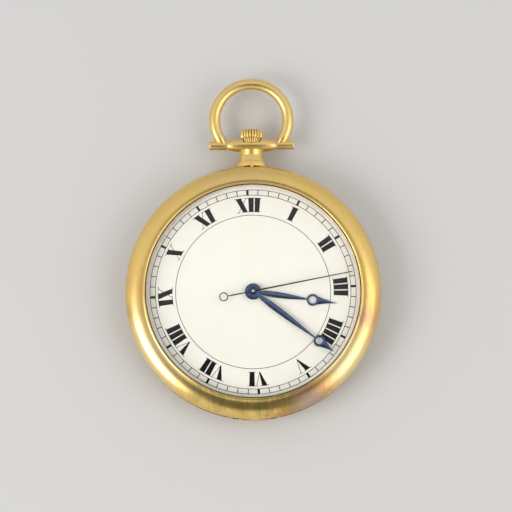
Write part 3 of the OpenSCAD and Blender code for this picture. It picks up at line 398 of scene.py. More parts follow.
def gold(name, roughness, tarnish, pale=0.5, stains=(), seam=NO_SEAM, grooved=False):
    """Worn satin gold: paler where it is rubbed, redder where it has tarnished, with soft stains,
    with painted shade and dirt in a dark line along a seam at one height, in millimetres, and
    with painted shade and dirt in the grooves of a fluted piece."""
    material, tree = new_material(name)
    place = object_place(tree)
    marks = use(tree, SCRATCHES, Scale=4200.0, Amount=0.7)
    rubbed = use(tree, PATCHES, Scale=130.0, Level=0.3, Softness=0.42, Amount=pale)["Mask"]
    red = use(tree, PATCHES, Scale=420.0, Level=0.45, Softness=0.40, Amount=tarnish)["Mask"]
    colour = tint(tree, red, tint(tree, rubbed, GOLD, GOLD_PALE), GOLD_RED)
    rough = added(tree, added(tree, roughness, red, 0.15), marks["Marks"], 0.08)
    for centre, reach, amount, stain_colour in stains:
        mask = use(tree, STAIN, Centre=Vector(centre) * MM, Reach=reach * MM, Amount=amount)["Mask"]
        colour = tint(tree, mask, colour, stain_colour)
        rough = added(tree, rough, mask, 0.03)
    # painted shade and dirt: a dark line along the seam, where the gap between the parts lies in
    # shade
    z = node(tree, "ShaderNodeSeparateXYZ", {0: place}).outputs[2]
    gap = maths(tree, "ABSOLUTE", maths(tree, "SUBTRACT", z, seam * MM))
    seam_shade_and_dirt = spread(tree, gap, 0.26 * MM, 0.08 * MM)
    colour = tint(tree, seam_shade_and_dirt, colour, SEAM_SHADE_AND_DIRT)
    rough = added(tree, rough, seam_shade_and_dirt, 0.3)
    height = added(tree, marks["Height"], noise(tree, place, 260.0, 3.0), 3.0)
    height = added(tree, height, noise(tree, place, 5200.0, 3.0), 0.25)
    if grooved:
        # painted shade and dirt: the crown's grooves are darker
        deep = spread(tree, groove_value(tree), 0.35, 0.95)
        colour = tint(tree, deep, colour, GROOVE_SHADE_AND_DIRT)
    return finished(material, Base_Color=colour, Metallic=1.0, Roughness=rough,
                    Normal=bumped(tree, height, 0.35, 0.010))


def metal(name, colour, shaded, roughness, centre=(0, 0, 0), turned=0.25, scale=9000.0):
    """Turned or polished metal: lathe marks about a centre, and slight patches of a second
    colour."""
    material, tree = new_material(name)
    patch = use(tree, PATCHES, Scale=500.0, Level=0.4, Softness=0.35, Amount=0.6)["Mask"]
    rings = use(tree, TURNING, Centre=Vector(centre) * MM, Scale=scale)["Height"]
    rough = added(tree, roughness, patch, 0.08)
    return finished(material, Base_Color=tint(tree, patch, colour, shaded), Metallic=1.0,
                    Roughness=rough, Normal=bumped(tree, rings, turned, 0.004))


def bridge_metal(name, across):
    """Striped nickel of the bridges and the balance cock: each stripe is painted darker across its
    width, painted shade for how the cut stripes catch the light.
    """
    material, tree = new_material(name)
    stripes = use(tree, STRIPES, Across=across, Width=0.0024)
    patch = use(tree, PATCHES, Scale=300.0, Level=0.45, Softness=0.3, Amount=0.5)["Mask"]
    nickel = tint(tree, patch, (0.90, 0.87, 0.78, 1), (0.86, 0.81, 0.70, 1))
    # painted shade across each stripe
    shade = maths(tree, "MULTIPLY", stripes["Shade"], 0.8)
    colour = tint(tree, shade, nickel, (0.48, 0.44, 0.37, 1))
    return finished(material, Base_Color=colour, Metallic=1.0,
                    Roughness=added(tree, 0.26, patch, 0.1),
                    Normal=bumped(tree, stripes["Height"], 0.5, 0.05))


def frosted(name, colour, shaded):
    """Matt gilding: fine frosting with slight patches."""
    material, tree = new_material(name)
    patch = use(tree, PATCHES, Scale=260.0, Level=0.4, Softness=0.3, Amount=0.6)["Mask"]
    frost = use(tree, GRAIN, Scale=9000.0)["Height"]
    return finished(material, Base_Color=tint(tree, patch, colour, shaded), Metallic=1.0,
                    Roughness=added(tree, 0.38, patch, 0.08),
                    Normal=bumped(tree, frost, 0.4, 0.006))


def silvered_dial(name):
    """The dial: warm silvered white with a silky turned grain; its sloping edge is painted a
    lighter, greyer white, painted light that lifts the shade the bezel casts there.
    """
    material, tree = new_material(name)
    place = object_place(tree)
    flat = vectors(tree, "MULTIPLY", place, (1.0, 1.0, 0.0))
    radius = vectors(tree, "LENGTH", flat)
    edge = spread(tree, radius, 18.9 * MM, 19.25 * MM)
    age = use(tree, PATCHES, Scale=120.0, Level=0.35, Softness=0.4, Amount=0.5)["Mask"]
    flecks = use(tree, PATCHES, Scale=1400.0, Level=0.6, Softness=0.12, Amount=0.10)["Mask"]
    face = tint(tree, flecks, tint(tree, age, (0.81, 0.80, 0.745, 1), (0.78, 0.76, 0.695, 1)),
                (0.62, 0.57, 0.47, 1))
    # painted light: the edge is lighter to make up for the bezel's shadow on it
    colour = tint(tree, edge, face, (0.90, 0.905, 0.88, 1))
    rings = use(tree, TURNING, Scale=5200.0)["Height"]
    grain = use(tree, GRAIN, Scale=5200.0)["Height"]
    return finished(material, Base_Color=colour, Metallic=0.0,
                    Roughness=added(tree, 0.42, edge, -0.08),
                    Normal=bumped(tree, maths(tree, "ADD", rings, grain), 0.22, 0.006))


def ink(name):
    """Dial enamel ink: near black, thinner in places."""
    material, tree = new_material(name)
    thin = use(tree, PATCHES, Scale=2600.0, Level=0.5, Softness=0.2, Amount=0.5)["Mask"]
    colour = tint(tree, thin, (0.004, 0.004, 0.005, 1), (0.016, 0.016, 0.016, 1))
    return finished(material, Base_Color=colour,
                    Specular_IOR_Level=0.15, Roughness=added(tree, 0.38, thin, 0.15),
                    Normal=bumped(tree, thin, 0.2, 0.003))


def blued(name, colour, bright, roughness, rim=None):
    """Heat-blued steel, or a black finish like it, with patches of a brighter colour. rim is a
    darker colour painted on the bevelled edges of a hand, whose groove value rises to them;
    this is painted shade, for the dark surroundings that those edges reflect."""
    material, tree = new_material(name)
    heat = use(tree, PATCHES, Scale=380.0, Level=0.35, Softness=0.4, Amount=0.8)["Mask"]
    marks = use(tree, SCRATCHES, Scale=1600.0, Amount=0.6)
    blue = tint(tree, heat, colour, bright)
    if rim:
        # painted shade on the bevelled edges of a hand
        blue = tint(tree, spread(tree, groove_value(tree), 0.5, 0.9), blue, rim)
    return finished(material, Base_Color=blue, Metallic=1.0,
                    Roughness=added(tree, roughness, marks["Marks"], 0.12),
                    Normal=bumped(tree, marks["Height"], 0.15, 0.003))


def glass(name):
    """Clear glass with faint rubbing marks, open to the light that falls on the dial."""
    material, tree = new_material(name)
    marks = use(tree, SCRATCHES, Scale=2600.0, Amount=0.4)
    shader = node(tree, "ShaderNodeBsdfPrincipled", {
        "Base Color": (1.0, 1.0, 1.0, 1), "Transmission Weight": 1.0, "IOR": 1.3,
        "Roughness": maths(tree, "MULTIPLY", marks["Marks"], 0.03)})
    clear = node(tree, "ShaderNodeBsdfTransparent")
    shadow = node(tree, "ShaderNodeLightPath").outputs["Is Shadow Ray"]
    both = node(tree, "ShaderNodeMixShader", {0: shadow, 1: shader.outputs[0], 2: clear.outputs[0]})
    tree.links.new(both.outputs[0], tree.nodes["Material Output"].inputs["Surface"])
    return material


def ruby(name):
    """Polished synthetic ruby."""
    material, tree = new_material(name)
    depth = use(tree, PATCHES, Scale=2500.0, Level=0.4, Softness=0.3, Amount=0.6)["Mask"]
    colour = tint(tree, depth, (0.55, 0.012, 0.05, 1), (0.34, 0.006, 0.03, 1))
    return finished(material, Base_Color=colour,
                    Roughness=added(tree, 0.06, depth, 0.05),
                    IOR=1.77, Coat_Weight=0.6)


BROWN_STAIN = (0.30, 0.15, 0.06, 1)
ORANGE_STAIN = (0.80, 0.42, 0.12, 1)
PINK_STAIN = (0.52, 0.40, 0.36, 1)
# painted highlight: the pale colour laid where the lamps' highlights fall on the bezel
PAINTED_HIGHLIGHT_PALE = (0.94, 0.79, 0.46, 1)
# painted reflection: the dark olive colour of the band the bezel reflects at six o'clock
PAINTED_REFLECTION_OLIVE = (0.36, 0.31, 0.10, 1)
BEZEL_STAINS = (
    # painted highlight: three pale patches at the lower left and lower right of the bezel
    ((19.0, -11.0, 7.2), 10.0, 0.6, PAINTED_HIGHLIGHT_PALE),
    ((15.5, -15.8, 7.2), 6.0, 0.6, PAINTED_HIGHLIGHT_PALE),
    ((-18.6, -11.6, 7.2), 11.0, 0.6, PAINTED_HIGHLIGHT_PALE),
    ((6.5, -20.6, 7.4), 6.0, 0.70, BROWN_STAIN),
    ((10.2, -18.6, 7.6), 4.6, 0.75, BROWN_STAIN),
    ((10.6, -20.9, 5.9), 4.6, 0.9, PINK_STAIN),
    ((4.2, -22.6, 6.2), 3.2, 0.6, ORANGE_STAIN),
    ((13.4, -17.2, 7.5), 3.2, 0.5, ORANGE_STAIN),
    ((20.6, -5.2, 7.4), 2.6, 0.65, (0.42, 0.24, 0.26, 1)),
    ((20.9, -8.0, 6.9), 4.0, 0.35, ORANGE_STAIN),
    ((22.6, -4.0, 6.0), 4.5, 0.45, ORANGE_STAIN),
    ((-20.5, 1.0, 7.2), 4.0, 0.35, ORANGE_STAIN),
    ((-21.5, -3.5, 6.4), 2.5, 0.4, BROWN_STAIN),
    ((-3.0, 21.9, 6.9), 10.0, 0.30, (0.60, 0.46, 0.26, 1)),
# painted dark reflection: olive patches round the bottom of the bezel
) + tuple(((21.3 * np.sin(a), 21.3 * np.cos(a), 7.5), 2.7, 0.6, PAINTED_REFLECTION_OLIVE)
          for a in np.radians([165, 176, 187, 198, 209]))
# heights of the seams, where the painted shade and dirt line lies
BEZEL_SEAM, COVER_SEAM = 5.26, 2.62
bezel_gold = gold("bezel_gold", 0.27, 0.16, 0.3, BEZEL_STAINS, BEZEL_SEAM)
case_gold = gold("case_gold", 0.3, 0.55, 0.15, (), BEZEL_SEAM)
bow_gold = gold("bow_gold", 0.31, 0.06, 0.75)
crown_gold = gold("crown_gold", 0.33, 0.05, 1.0, grooved=True)
cover_gold = gold("cover_gold", 0.26, 0.10, 1.0, (), COVER_SEAM)
dial_silver = silvered_dial("dial_silver")
dial_ink = ink("dial_ink")
# painted shade for the edges of the blued hands and boss
NAVY_EDGE_SHADE = (0.008, 0.016, 0.07, 1)
hand_blue = blued("hand_blue", (0.065, 0.12, 0.25, 1), (0.12, 0.22, 0.42, 1), 0.2, NAVY_EDGE_SHADE)
boss_blue = blued("boss_blue", (0.14, 0.22, 0.38, 1), (0.20, 0.30, 0.46, 1), 0.18, NAVY_EDGE_SHADE)
# painted shade and dirt: the black of the cord in the gap round the glass
gap_shade_black = blued("gap_shade_black", (0.012, 0.010, 0.008, 1), (0.03, 0.024, 0.018, 1), 0.55)
needle_black = blued("needle_black", (0.02, 0.022, 0.035, 1), (0.03, 0.034, 0.06, 1), 0.3)
screw_blue = blued("screw_blue", (0.05, 0.10, 0.40, 1), (0.09, 0.17, 0.60, 1), 0.2)
spring_blue = blued("spring_blue", (0.05, 0.09, 0.34, 1), (0.10, 0.16, 0.5, 1), 0.25)
steel = metal("polished_steel", (0.66, 0.67, 0.69, 1), (0.56, 0.56, 0.58, 1), 0.2)
spring_steel = metal("spring_steel", (0.42, 0.44, 0.49, 1), (0.34, 0.35, 0.40, 1), 0.28)
plate_gilt = frosted("frosted_gilt", (0.80, 0.66, 0.42, 1), (0.72, 0.57, 0.34, 1))
bridge_nickel = bridge_metal("striped_nickel", (0.829, 0.559, 0.0))
cock_nickel = bridge_metal("cock_nickel", (0.36, 0.93, 0.0))
crystal_glass = glass("crystal_glass")
ruby_red = ruby("ruby_red")


def node_centre(name):
    low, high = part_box(name)
    return (low + high) / 2 / MM


def turned_wheel(name, colour, shaded, roughness, turned=0.5, scale=7000.0):
    """A material whose lathe marks run round one wheel's own centre."""
    return metal(name + "_finish", colour, shaded, roughness, node_centre(name), turned, scale)


STEEL_WHEEL = ((0.84, 0.84, 0.86, 1), (0.76, 0.76, 0.78, 1), 0.22)
GILT_WHEEL = ((0.82, 0.60, 0.27, 1), (0.74, 0.52, 0.22, 1), 0.28)

finishes = {
    "case_middle": case_gold, "back_cover": cover_gold, "cuvette": cover_gold, "pendant": bow_gold,
    "cannon_pinion": hand_blue, "main_plate": plate_gilt, "hairspring": spring_blue,
    "barrel_bridge": bridge_nickel, "train_bridge": bridge_nickel,
    "balance_cock": cock_nickel, "pallet_bridge": cock_nickel,
}
for name in ("bow_pins", "back_hinge_pin", "cuvette_hinge_pin", "winding_stem", "winding_pinion",
             "sliding_clutch", "setting_lever", "yoke", "barrel_arbor", "click", "escape_wheel",
             "pallet_fork", "balance_staff", "regulator", "seconds_pinion", "dial_screws"):
    finishes[name] = steel
for name in ("yoke_spring", "mainspring", "click_spring"):
    finishes[name] = spring_steel
for name in ("setting_lever_screw", "ratchet_screw", "crown_wheel_screw", "bridge_screws",
             "case_screws"):
    finishes[name] = screw_blue
for name in ("pallet_stones", "impulse_jewel", "jewels"):
    finishes[name] = ruby_red
for name in ("ratchet_wheel", "crown_wheel"):
    finishes[name] = turned_wheel(name, *STEEL_WHEEL, 0.8, 5000.0)
for name in ("setting_wheel", "minute_wheel", "hour_wheel", "barrel_drum", "barrel_cover",
             "centre_wheel", "third_wheel", "seconds_driving_wheel", "fourth_wheel",
             "balance_wheel"):
    finishes[name] = turned_wheel(name, *GILT_WHEEL)
for name, finish in finishes.items():
    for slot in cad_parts[name].material_slots:
        slot.material = finish

# ---------- case ----------


def make_bezel():
    """The bezel: a ring whose profile rises in a quarter of an ellipse from its edge to a rounded
    lip, with a rebate inside for the glass."""
    t = np.radians(np.linspace(2, 86, 28))
    crown = np.stack([OPENING_R + 0.5 + (CASE_R - OPENING_R - 0.5) * np.cos(t),
                      5.72 + (LIP_Z - 0.07 - 5.72) * np.sin(t)], 1)
    lip = rounded([[OPENING_R + 0.42, LIP_Z - 0.08], [OPENING_R + 0.2, LIP_Z + 0.01],
                   [OPENING_R + 0.01, LIP_Z - 0.12], [OPENING_R + 0.01, 7.58]],
                  [0.06, 0.09, 0.08, 0.02])
    inside = [[20.46, 7.48], [20.46, 6.86], [20.12, 6.84], [20.12, 6.21], [21.74, 6.21],
              [21.74, BEZEL_LOW]]
    edge = rounded([[CASE_R - 0.16, BEZEL_LOW], [CASE_R - 0.01, 5.5], [CASE_R, 5.72]],
                   [0.04, 0.08, 0.04])
    outline = np.concatenate([crown, lip, inside, edge[:10]])
    piece("bezel_ring", revolved(outline, 288), "case", bezel_gold, ["bezel"])


def make_crystal():
    """The glass: a shallow dome, two spherical caps a glass's thickness apart, closed by its
    rim."""
    def cap(rim_z, rise, radius, steps):
        sphere = (radius ** 2 + rise ** 2) / (2 * rise)
        r = np.linspace(0, radius, steps)
        return np.stack([r, rim_z + rise - sphere + np.sqrt(sphere ** 2 - r ** 2)], 1)

    top = cap(7.72, 0.6, OPENING_R - 0.06, 24)
    under = cap(7.15, 0.6, OPENING_R - 0.3, 24)[::-1]
    rim = np.array([[OPENING_R - 0.05, 7.46], [20.39, 7.44], [20.39, 6.87], [20.12, 6.87]])
    outline = np.concatenate([top, rim, under])
    piece("crystal_dome", revolved(outline, 192, closed=False), "case", crystal_glass,
          ["crystal"])


def make_dial():
    """The dial: a flat disc with a hole, whose edge slopes down and is rounded over."""
    profile = rounded([[DIAL_HOLE_R, DIAL_Z - 0.4], [DIAL_R - 0.01, DIAL_Z - 0.4],
                       [DIAL_R - 0.01, DIAL_Z - 0.18], [DIAL_R - 1.0, DIAL_Z],
                       [DIAL_HOLE_R, DIAL_Z]], [0.01, 0.03, 0.05, 0.25, 0.04], 6)
    foot = revolved([[0, 4.4], [0.4, 4.4], [0.4, 5.52], [0, 5.52]], 24, closed=False)
    feet = [placed(foot, Matrix.Translation((FOOT_R * np.cos(a), FOOT_R * np.sin(a), 0)))
            for a in np.radians([60, 240])]
    piece("dial_disc", joined([revolved(profile, 288)] + feet), "case", dial_silver,
          ["dial"])


# ---------- dial printing ----------

INK_T = 0.015
NUMERAL_LOW, NUMERAL_HIGH = 14.84, 17.5
NUMERAL_MIDDLE = (NUMERAL_LOW + NUMERAL_HIGH) / 2
STROKE, HAIR, GAP = 0.93, 0.09, 0.2
NUMERALS = ["XII", "I", "II", "III", "IIII", "V", "VI", "VII", "VIII", "IX", "X", "XI"]
HEIGHT = NUMERAL_HIGH - NUMERAL_LOW
TRACK_LOW, TRACK_HIGH = 17.95, 19.0
MINUTE_W, HOUR_W = 0.15, 0.44  # widths of the marks in the minute track
CIRCLES = ((18.97, 0.105), (17.98, 0.105), (14.25, 0.1))  # radius and width of the printed circles


def quad(a, b, c, d):
    return np.array([a, b, c, d], float)


def hairline(a, b, width=HAIR):
    """A thin straight stroke from a to b, as a quad."""
    a, b = np.array(a, float), np.array(b, float)
    side = np.array([a[1] - b[1], b[0] - a[0]])
    side *= width / 2 / np.linalg.norm(side)
    return quad(a - side, a + side, b + side, b - side)


def serif(x0, x1, y):
    return quad((x0, y), (x1, y), (x1, y + HAIR), (x0, y + HAIR))


def glyph(letter):
    """The width of one letter and its strokes. x runs clockwise round the dial, y away from its
    centre."""
    top = HEIGHT - HAIR
    if letter == "I":
        w = STROKE
        return w, [quad((0, 0), (w, 0), (w, HEIGHT), (0, HEIGHT)), serif(-0.26, w + 0.26, 0),
                   serif(-0.26, w + 0.26, top)]
    w = 2.02
    if letter == "V":
        return w, [quad((1.12, 0), (1.3, 0), (STROKE + 0.02, HEIGHT), (0.02, HEIGHT)),
                   hairline((1.2, 0.04), (w - 0.14, HEIGHT)), serif(-0.26, STROKE + 0.3, top),
                   serif(w - 0.5, w + 0.16, top)]
    return w, [quad((w - STROKE - 0.02, 0), (w - 0.02, 0), (STROKE + 0.02, HEIGHT), (0.02, HEIGHT)),
               hairline((0.16, 0.02), (w - 0.16, HEIGHT - 0.02)), serif(-0.26, STROKE + 0.26, top),
               serif(w - 0.46, w + 0.2, top), serif(-0.2, 0.5, 0),
               serif(w - STROKE - 0.26, w + 0.26, 0)]


def numeral(text):
    """Strokes of a whole numeral, set side by side and centred on x = 0."""
    strokes, x = [], 0.0
    for letter in text:
        width, shapes = glyph(letter)
        strokes += [shape + (x, 0) for shape in shapes]
        x += width + GAP
    return np.array(strokes) - ((x - GAP) / 2, 0)


def slab(outlines):
    """Thin slabs from outlines of four points, shape (n, 4, 2): a top, a bottom and four sides
    each."""
    n = len(outlines)
    levels = np.array([DIAL_Z - 0.002, DIAL_Z + INK_T])
    points = np.concatenate([np.broadcast_to(outlines[:, None], (n, 2, 4, 2)),
                             np.broadcast_to(levels[None, :, None, None], (n, 2, 4, 1))], -1)
    sides = np.array([[0, 1, 2, 3], [4, 5, 6, 7], [0, 1, 5, 4], [1, 2, 6, 5], [2, 3, 7, 6],
                      [3, 0, 4, 7]])
    quads = sides[None] + 8 * np.arange(n)[:, None, None]
    return points.reshape(-1, 3), quads.reshape(-1, 4)


def round_dial(x, y_radius, angle):
    """Bends flat strokes round the dial: the hour angle grows by x over the numerals' middle
    radius."""
    a = np.pi / 2 + DIAL_TURN - (angle + x / NUMERAL_MIDDLE)
    return np.stack([y_radius * np.cos(a), y_radius * np.sin(a)], -1)


def bars(angles, low, high, width):
    """Radial bars between two radii, centred on hour angles."""
    x = np.array([-width, width, width, -width]) / 2
    r = np.array([low, low, high, high])
    a = np.pi / 2 + DIAL_TURN - angles[:, None]
    out, side = np.stack([np.cos(a), np.sin(a)], -1), np.stack([np.sin(a), -np.cos(a)], -1)
    return out * r[None, :, None] + side * x[None, :, None]


def ring(radius, width, steps=360):
    """A printed circle, as quads between two radii."""
    a = np.linspace(0, 2 * np.pi, steps + 1)
    inner = np.stack([np.cos(a), np.sin(a)], -1) * (radius - width / 2)
    outer = np.stack([np.cos(a), np.sin(a)], -1) * (radius + width / 2)
    return np.stack([inner[:-1], inner[1:], outer[1:], outer[:-1]], 1)


def make_dial_print():
    """Numerals that stand with their feet to the centre, a minute track and an inner circle."""
    hours = np.radians(np.arange(12) * 30)
    strokes = [round_dial(marks[..., 0], NUMERAL_LOW + marks[..., 1], angle)
               for angle, marks in zip(hours, map(numeral, NUMERALS))]
    numerals = slab(np.concatenate(strokes))
    minutes = np.radians(np.arange(60) * 6)
    plain = minutes[np.arange(60) % 5 != 0]
    track = slab(np.concatenate([bars(plain, TRACK_LOW, TRACK_HIGH, MINUTE_W),
                                 bars(hours, TRACK_LOW, TRACK_HIGH, HOUR_W)]))
    lines = slab(np.concatenate([ring(*circle) for circle in CIRCLES]))
    for name, shell in (("hour_numerals", numerals), ("minute_track", track),
                        ("track_circles", lines)):
        piece(name, shell, "case", dial_ink, smooth_angle=20)


# ---------- hands ----------


def blade(y, half_width, height=HAND_T, edge=0.05, steps=13):
    """A domed strip along +Y: across it the height is edge + (height - edge) cos u, at x = half
    width times sin u, and its underside is flat."""
    u = np.linspace(-np.pi / 2, np.pi / 2, steps)
    x = np.concatenate([np.sin(u), [1.0, -1.0]])
    z = np.concatenate([edge + (height - edge) * np.cos(u), [0.0, 0.0]])
    points = np.stack([half_width[:, None] * x, y[:, None] + 0 * x, z + 0 * y[:, None]], -1)
    ends = points[[0, -1]] * (0, 1, 0) + (0, 0, height / 2)
    return grid_shell(np.concatenate([ends[:1], points, ends[1:]]), wrap_v=True)


def domed_ring(inner, outer, height=HAND_T, centre_y=0.0, dome=0.06):
    """A flat ring with rounded edges, such as a hand's eye or boss."""
    u = np.linspace(0, np.pi, 11)
    middle, half = (inner + outer) / 2, (outer - inner) / 2
    top = np.stack([middle + half * np.cos(u), height - dome + dome * np.sin(u)], 1)
    outline = np.concatenate([top, [[inner, 0.0], [outer, 0.0]]])
    return placed(revolved(outline, 72), Matrix.Translation((0, centre_y, 0)))


def repeated(values, shell):
    """One value for each point of a profile, given to every copy of the profile in a shell."""
    return np.tile(values, len(shell[0]) // len(values))


def ring_hand(name, body, angle, z, length, eye_y, eye, boss):
    """A hand with a leaf that swells near its root, a round eye and a hollow-sided point; eye and
    boss are inner and outer radii. The leaf's half width is 0.14 + 0.41 sin(pi s^0.62) and the
    point's is 0.78 (1 - s)^1.4 + 0.025, where s runs from 0 to 1 along each. A groove value rises
    to 1 at every edge, so that the finish can paint shade on them."""
    outer = eye[1]
    leaf_s = np.linspace(0, 1, 34)
    leaf_y = boss[1] * 0.8 + leaf_s * (eye_y - outer * 0.92 - boss[1] * 0.8)
    leaf = blade(leaf_y, 0.14 + 0.41 * np.sin(np.pi * leaf_s ** 0.62))
    tip_s = np.linspace(0, 1, 16)
    tip_y = eye_y + outer * 0.62 + tip_s * (length - eye_y - outer * 0.62)
    point = blade(tip_y, 0.78 * (1 - tip_s) ** 1.4 + 0.025)
    rings = [domed_ring(*eye, centre_y=eye_y), domed_ring(*boss)]
    across = np.concatenate([np.abs(np.sin(np.linspace(-np.pi / 2, np.pi / 2, 13))), [1, 1]])
    round_ring = np.concatenate([np.abs(np.cos(np.linspace(0, np.pi, 11))), [1, 1]])
    edge = [repeated(across, shell) for shell in (leaf, point)]
    edge += [repeated(round_ring, shell) for shell in rings]
    shell = placed(joined([leaf, point] + rings), hand_turn(angle, z))
    piece(name, shell, body, hand_blue, [body], groove=np.concatenate(edge))


def make_seconds_hand():
    """A thin tapered needle with an open ring on its tail and a domed boss on the seconds arbor."""
    needle_y = np.linspace(0, 18.6, 20)
    needle = blade(needle_y, np.linspace(0.15, 0.075, 20), 0.1, 0.03, 7)
    tail = blade(np.linspace(-4.75, 0, 6), np.full(6, 0.11), 0.1, 0.03, 7)
    eye = domed_ring(0.64, 0.83, 0.1, -5.5, 0.04)
    u = np.linspace(0, np.pi / 2, 8)
    cap = np.concatenate([[[0.1, -0.1], [0.6, -0.1]],
                          np.stack([0.1 + 0.5 * np.cos(u), 0.14 + 0.07 * np.sin(u)], 1)])
    turn = hand_turn(SECOND_ANGLE, SECOND_Z)
    piece("seconds_needle", placed(joined([needle, tail, eye]), turn), "seconds_hand", needle_black,
          ["seconds_hand"])
    cap = placed(revolved(cap, 64), turn)
    # groove value for the painted shade at the rim of the boss
    rim = repeated(np.concatenate([[0, 1], np.cos(u) ** 0.5]), cap)
    piece("seconds_boss", cap, "seconds_hand", boss_blue, groove=rim)


# ---------- pendant, bow and crown ----------


def make_bow():
    """The bow: wire bent round three quarters of a circle. Over its last 16 degrees its radius
    falls by a third, and its ends are closed inside two plain barrels on the bow's axis."""
    reach = np.radians(42.5)
    a = np.concatenate([[-reach], np.linspace(-reach, np.pi + reach, 170), [np.pi + reach]])
    to_end = np.clip((reach + np.minimum(a, np.pi - a)) / np.radians(16), 0, 1)
    wire_r = BOW_WIRE_R * (0.67 + 0.33 * np.sin(to_end * np.pi / 2))
    wire_r[[0, -1]] = 0.001
    b = np.linspace(0, 2 * np.pi, 40, endpoint=False)
    radius = BOW_R + wire_r[:, None] * np.cos(b)
    wire = np.stack([radius * np.cos(a)[:, None], BOW_CENTRE_Y + radius * np.sin(a)[:, None],
                     STEM_Z + wire_r[:, None] * np.sin(b)], -1)
    shells = [grid_shell(wire, wrap_v=True)]
    outline = rounded([[0, BARREL_IN], [BARREL_R, BARREL_IN], [BARREL_R, BARREL_IN + BARREL_L],
                       [0, BARREL_IN + BARREL_L]], [0.001, 0.14, 0.2, 0.001])
    for side in (-1, 1):
        turn = along_x(0, BOW_AXIS_Y) @ Matrix.Diagonal((1, 1, side, 1))
        shells.append(placed(revolved(outline, 48, closed=False), turn))
    piece("bow_ring", joined(shells), "bow", bow_gold, ["bow"])


def make_crown():
    """The crown: its radius is a turned profile less rounded flutes that fade out over its top. A
    flute's depth goes as (0.5 - 0.5 cos 22 a) to the power 1.5, where a is the angle round the
    crown."""
    profile = np.array([
        [0.001, 0], [1.5, 0], [1.56, 0.1], [1.6, 0.5], [1.78, 0.75], [1.95, 0.9], [2.06, 1.15],
        [2.08, 1.5], [2.06, 1.85], [1.96, 2.12], [1.76, 2.3], [1.5, 2.4], [1.1, 2.445], [0.5, 2.45],
        [0.001, 2.45]])
    steps = np.linspace(0, len(profile) - 1, 57)
    r = np.interp(steps, np.arange(len(profile)), profile[:, 0])
    y = np.interp(steps, np.arange(len(profile)), profile[:, 1])
    a = np.linspace(0, 2 * np.pi, CROWN_FLUTES * 12, endpoint=False)[:, None]
    groove = (0.5 - 0.5 * np.cos(CROWN_FLUTES * a)) ** 1.5
    depth = 0.21 * np.clip((r - 1.3) / 0.35, 0, 1) * np.clip((2.44 - y) / 0.28, 0, 1)
    radius = r - depth * groove
    points = np.stack([radius * np.cos(a), radius * np.sin(a), y + 0 * a], -1)
    piece("crown_knob", placed(grid_shell(points, wrap_u=True), along_y(CROWN_Y)), "crown",
          crown_gold, ["crown"], smooth_angle=60,
          groove=groove * np.clip(depth / 0.1, 0, 1))


def make_glass_gap_shade():
    """Painted shade and dirt in the gap between the glass and the lip of the bezel: a dark round
    cord carried round a circle."""
    b = np.linspace(0, 2 * np.pi, 14, endpoint=False)
    outline = np.stack([OPENING_R - 0.07 + 0.085 * np.cos(b), 7.745 + 0.085 * np.sin(b)], 1)
    piece("glass_gap_shade", revolved(outline, 256), "case", gap_shade_black)


def make_pendant_screw():
    """A small slotted screw in the foot of the pendant: a domed head, 0.10 - 0.5 r^2 high, with a
    slot 0.06 deep where |x| is under 0.045, whose sides slope out to 0.075."""
    r = np.concatenate([np.linspace(0.001, 0.24, 9), [0.3, 0.32]])
    a = np.linspace(0, 2 * np.pi, 96, endpoint=False)[:, None]
    x = r * np.cos(a)
    top = 0.10 - 0.5 * r ** 2 - 0.06 * np.clip((0.075 - np.abs(x)) / 0.03, 0, 1)
    top[:, -1] = -0.3
    points = np.stack([x, r * np.sin(a), top], -1)
    place = Matrix.Translation((0, 23.45, STEM_Z + 2.74))
    piece("pendant_screw", placed(grid_shell(points, wrap_u=True), place), "case", bow_gold,
          smooth_angle=40)


def make_seconds_pivot():
    """The polished end of the seconds arbor, a low dome in the middle of the hands."""
    u = np.linspace(0, np.pi / 2, 8)
    dome = np.stack([0.2 * np.cos(u) + 0.001, 0.06 * np.sin(u)], 1)
    shell = revolved(np.concatenate([[[0.001, -0.1]], dome]), 32, closed=False)
    piece("seconds_pivot", placed(shell, Matrix.Translation((0, 0, PIVOT_Z))), "seconds_hand",
          steel)


make_bezel()
make_crystal()
make_dial()
make_dial_print()
ring_hand("hour_blade", "hour_hand", HOUR_ANGLE, HOUR_Z, 15.6, 11.05, (0.71, 1.09), (1.02, 1.5))
ring_hand("minute_blade", "minute_hand", MINUTE_ANGLE, MINUTE_Z, 18.65, 15.2, (0.63, 1.07),
          (0.77, 1.32))
make_seconds_hand()
make_seconds_pivot()
make_glass_gap_shade()
make_pendant_screw()
make_bow()
make_crown()

# ---------- floor, light and camera ----------

floor_mesh = bpy.data.meshes.new("floor")
floor_mesh.from_pydata([(-2, -2, 0), (2, -2, 0), (2, 2, 0), (-2, 2, 0)], [], [(0, 1, 2, 3)])
floor = bpy.data.objects.new("floor", floor_mesh)
floor.location.z = -0.00002
bpy.context.scene.collection.objects.link(floor)
floor_paint, _ = new_material("pale_floor")
floor_mesh.materials.append(finished(floor_paint, Base_Color=(0.66, 0.66, 0.67, 1), Roughness=0.7))


def soft_light(name, place, target, size, watts, colour=(1, 1, 1)):
    """A square area light at a place, in metres, facing a target."""
    data = bpy.data.lights.new(name, "AREA")
    data.shape, data.size, data.energy, data.color = "SQUARE", size, watts, colour
    lamp = bpy.data.objects.new(name, data)
    lamp.location = place
    lamp.rotation_euler = (Vector(target) - Vector(place)).to_track_quat("-Z", "Y").to_euler()
    bpy.context.scene.collection.objects.link(lamp)


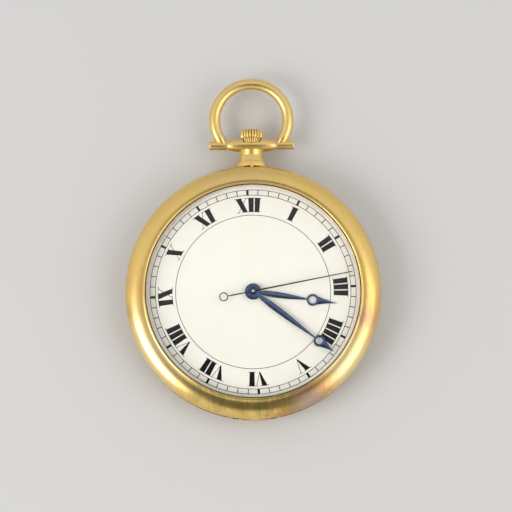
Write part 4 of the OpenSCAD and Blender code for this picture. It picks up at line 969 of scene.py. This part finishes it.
soft_light("left_light", (-0.50, -0.20, 0.47), (0, 0, 0), 0.40, 1.95, (1.0, 0.98, 0.94))
soft_light("right_light", (0.44, -0.14, 0.52), (0, 0, 0), 0.60, 1.25, (1.0, 0.97, 0.92))

SKY = 0.80  # brightness of the room round the watch
HOOD_AIM = (0.0, -0.358, 0.934)  # direction of the middle of the dark patch over the watch

world = bpy.data.worlds.new("studio")
world.use_nodes = True
bpy.context.scene.world = world
sky = world.node_tree
# The room is darker beyond the pendant and in one patch overhead, which the gold reflects.
where = node(sky, "ShaderNodeTexCoord").outputs["Generated"]
behind = spread(sky, node(sky, "ShaderNodeSeparateXYZ", {0: where}).outputs[1], 0.35, 1.0)
hood = vectors(sky, "DOT_PRODUCT", where, HOOD_AIM)
shade = maths(sky, "MAXIMUM", maths(sky, "MULTIPLY", behind, 0.22),
              maths(sky, "MULTIPLY", spread(sky, hood, 0.870, 0.93), 0.98))
background = sky.nodes["Background"]
strength = maths(sky, "MULTIPLY", maths(sky, "SUBTRACT", 1.0, shade), SKY)
sky.links.new(strength, background.inputs["Strength"])
background.inputs["Color"].default_value = (1.0, 0.99, 0.97, 1)

# The camera looks down at the dial, a little from the side of six o'clock.
VIEW_WIDTH = 94.291  # width seen at the aim
VIEW_TILT = np.radians(8.3)
VIEW_ROLL = np.radians(0.6)
VIEW_DISTANCE = 750.0
SENSOR = 36
aim = Vector((0.6, 6.66, DIAL_Z)) * MM
back = Vector((0, -np.sin(VIEW_TILT), np.cos(VIEW_TILT)))
side = Vector((np.sin(VIEW_ROLL), np.cos(VIEW_ROLL), 0)).cross(back).normalized()
up = back.cross(side)
camera_data = bpy.data.cameras.new("camera")
camera_data.sensor_width = SENSOR
camera_data.lens = SENSOR * VIEW_DISTANCE / VIEW_WIDTH
camera_data.clip_start, camera_data.clip_end = 0.01, 20
camera = bpy.data.objects.new("camera", camera_data)
camera.matrix_world = Matrix.Translation(aim + back * VIEW_DISTANCE * MM) @ Matrix(
    (side, up, back)).transposed().to_4x4()
bpy.context.scene.collection.objects.link(camera)
bpy.context.scene.camera = camera
bpy.context.scene.view_settings.view_transform = "Standard"
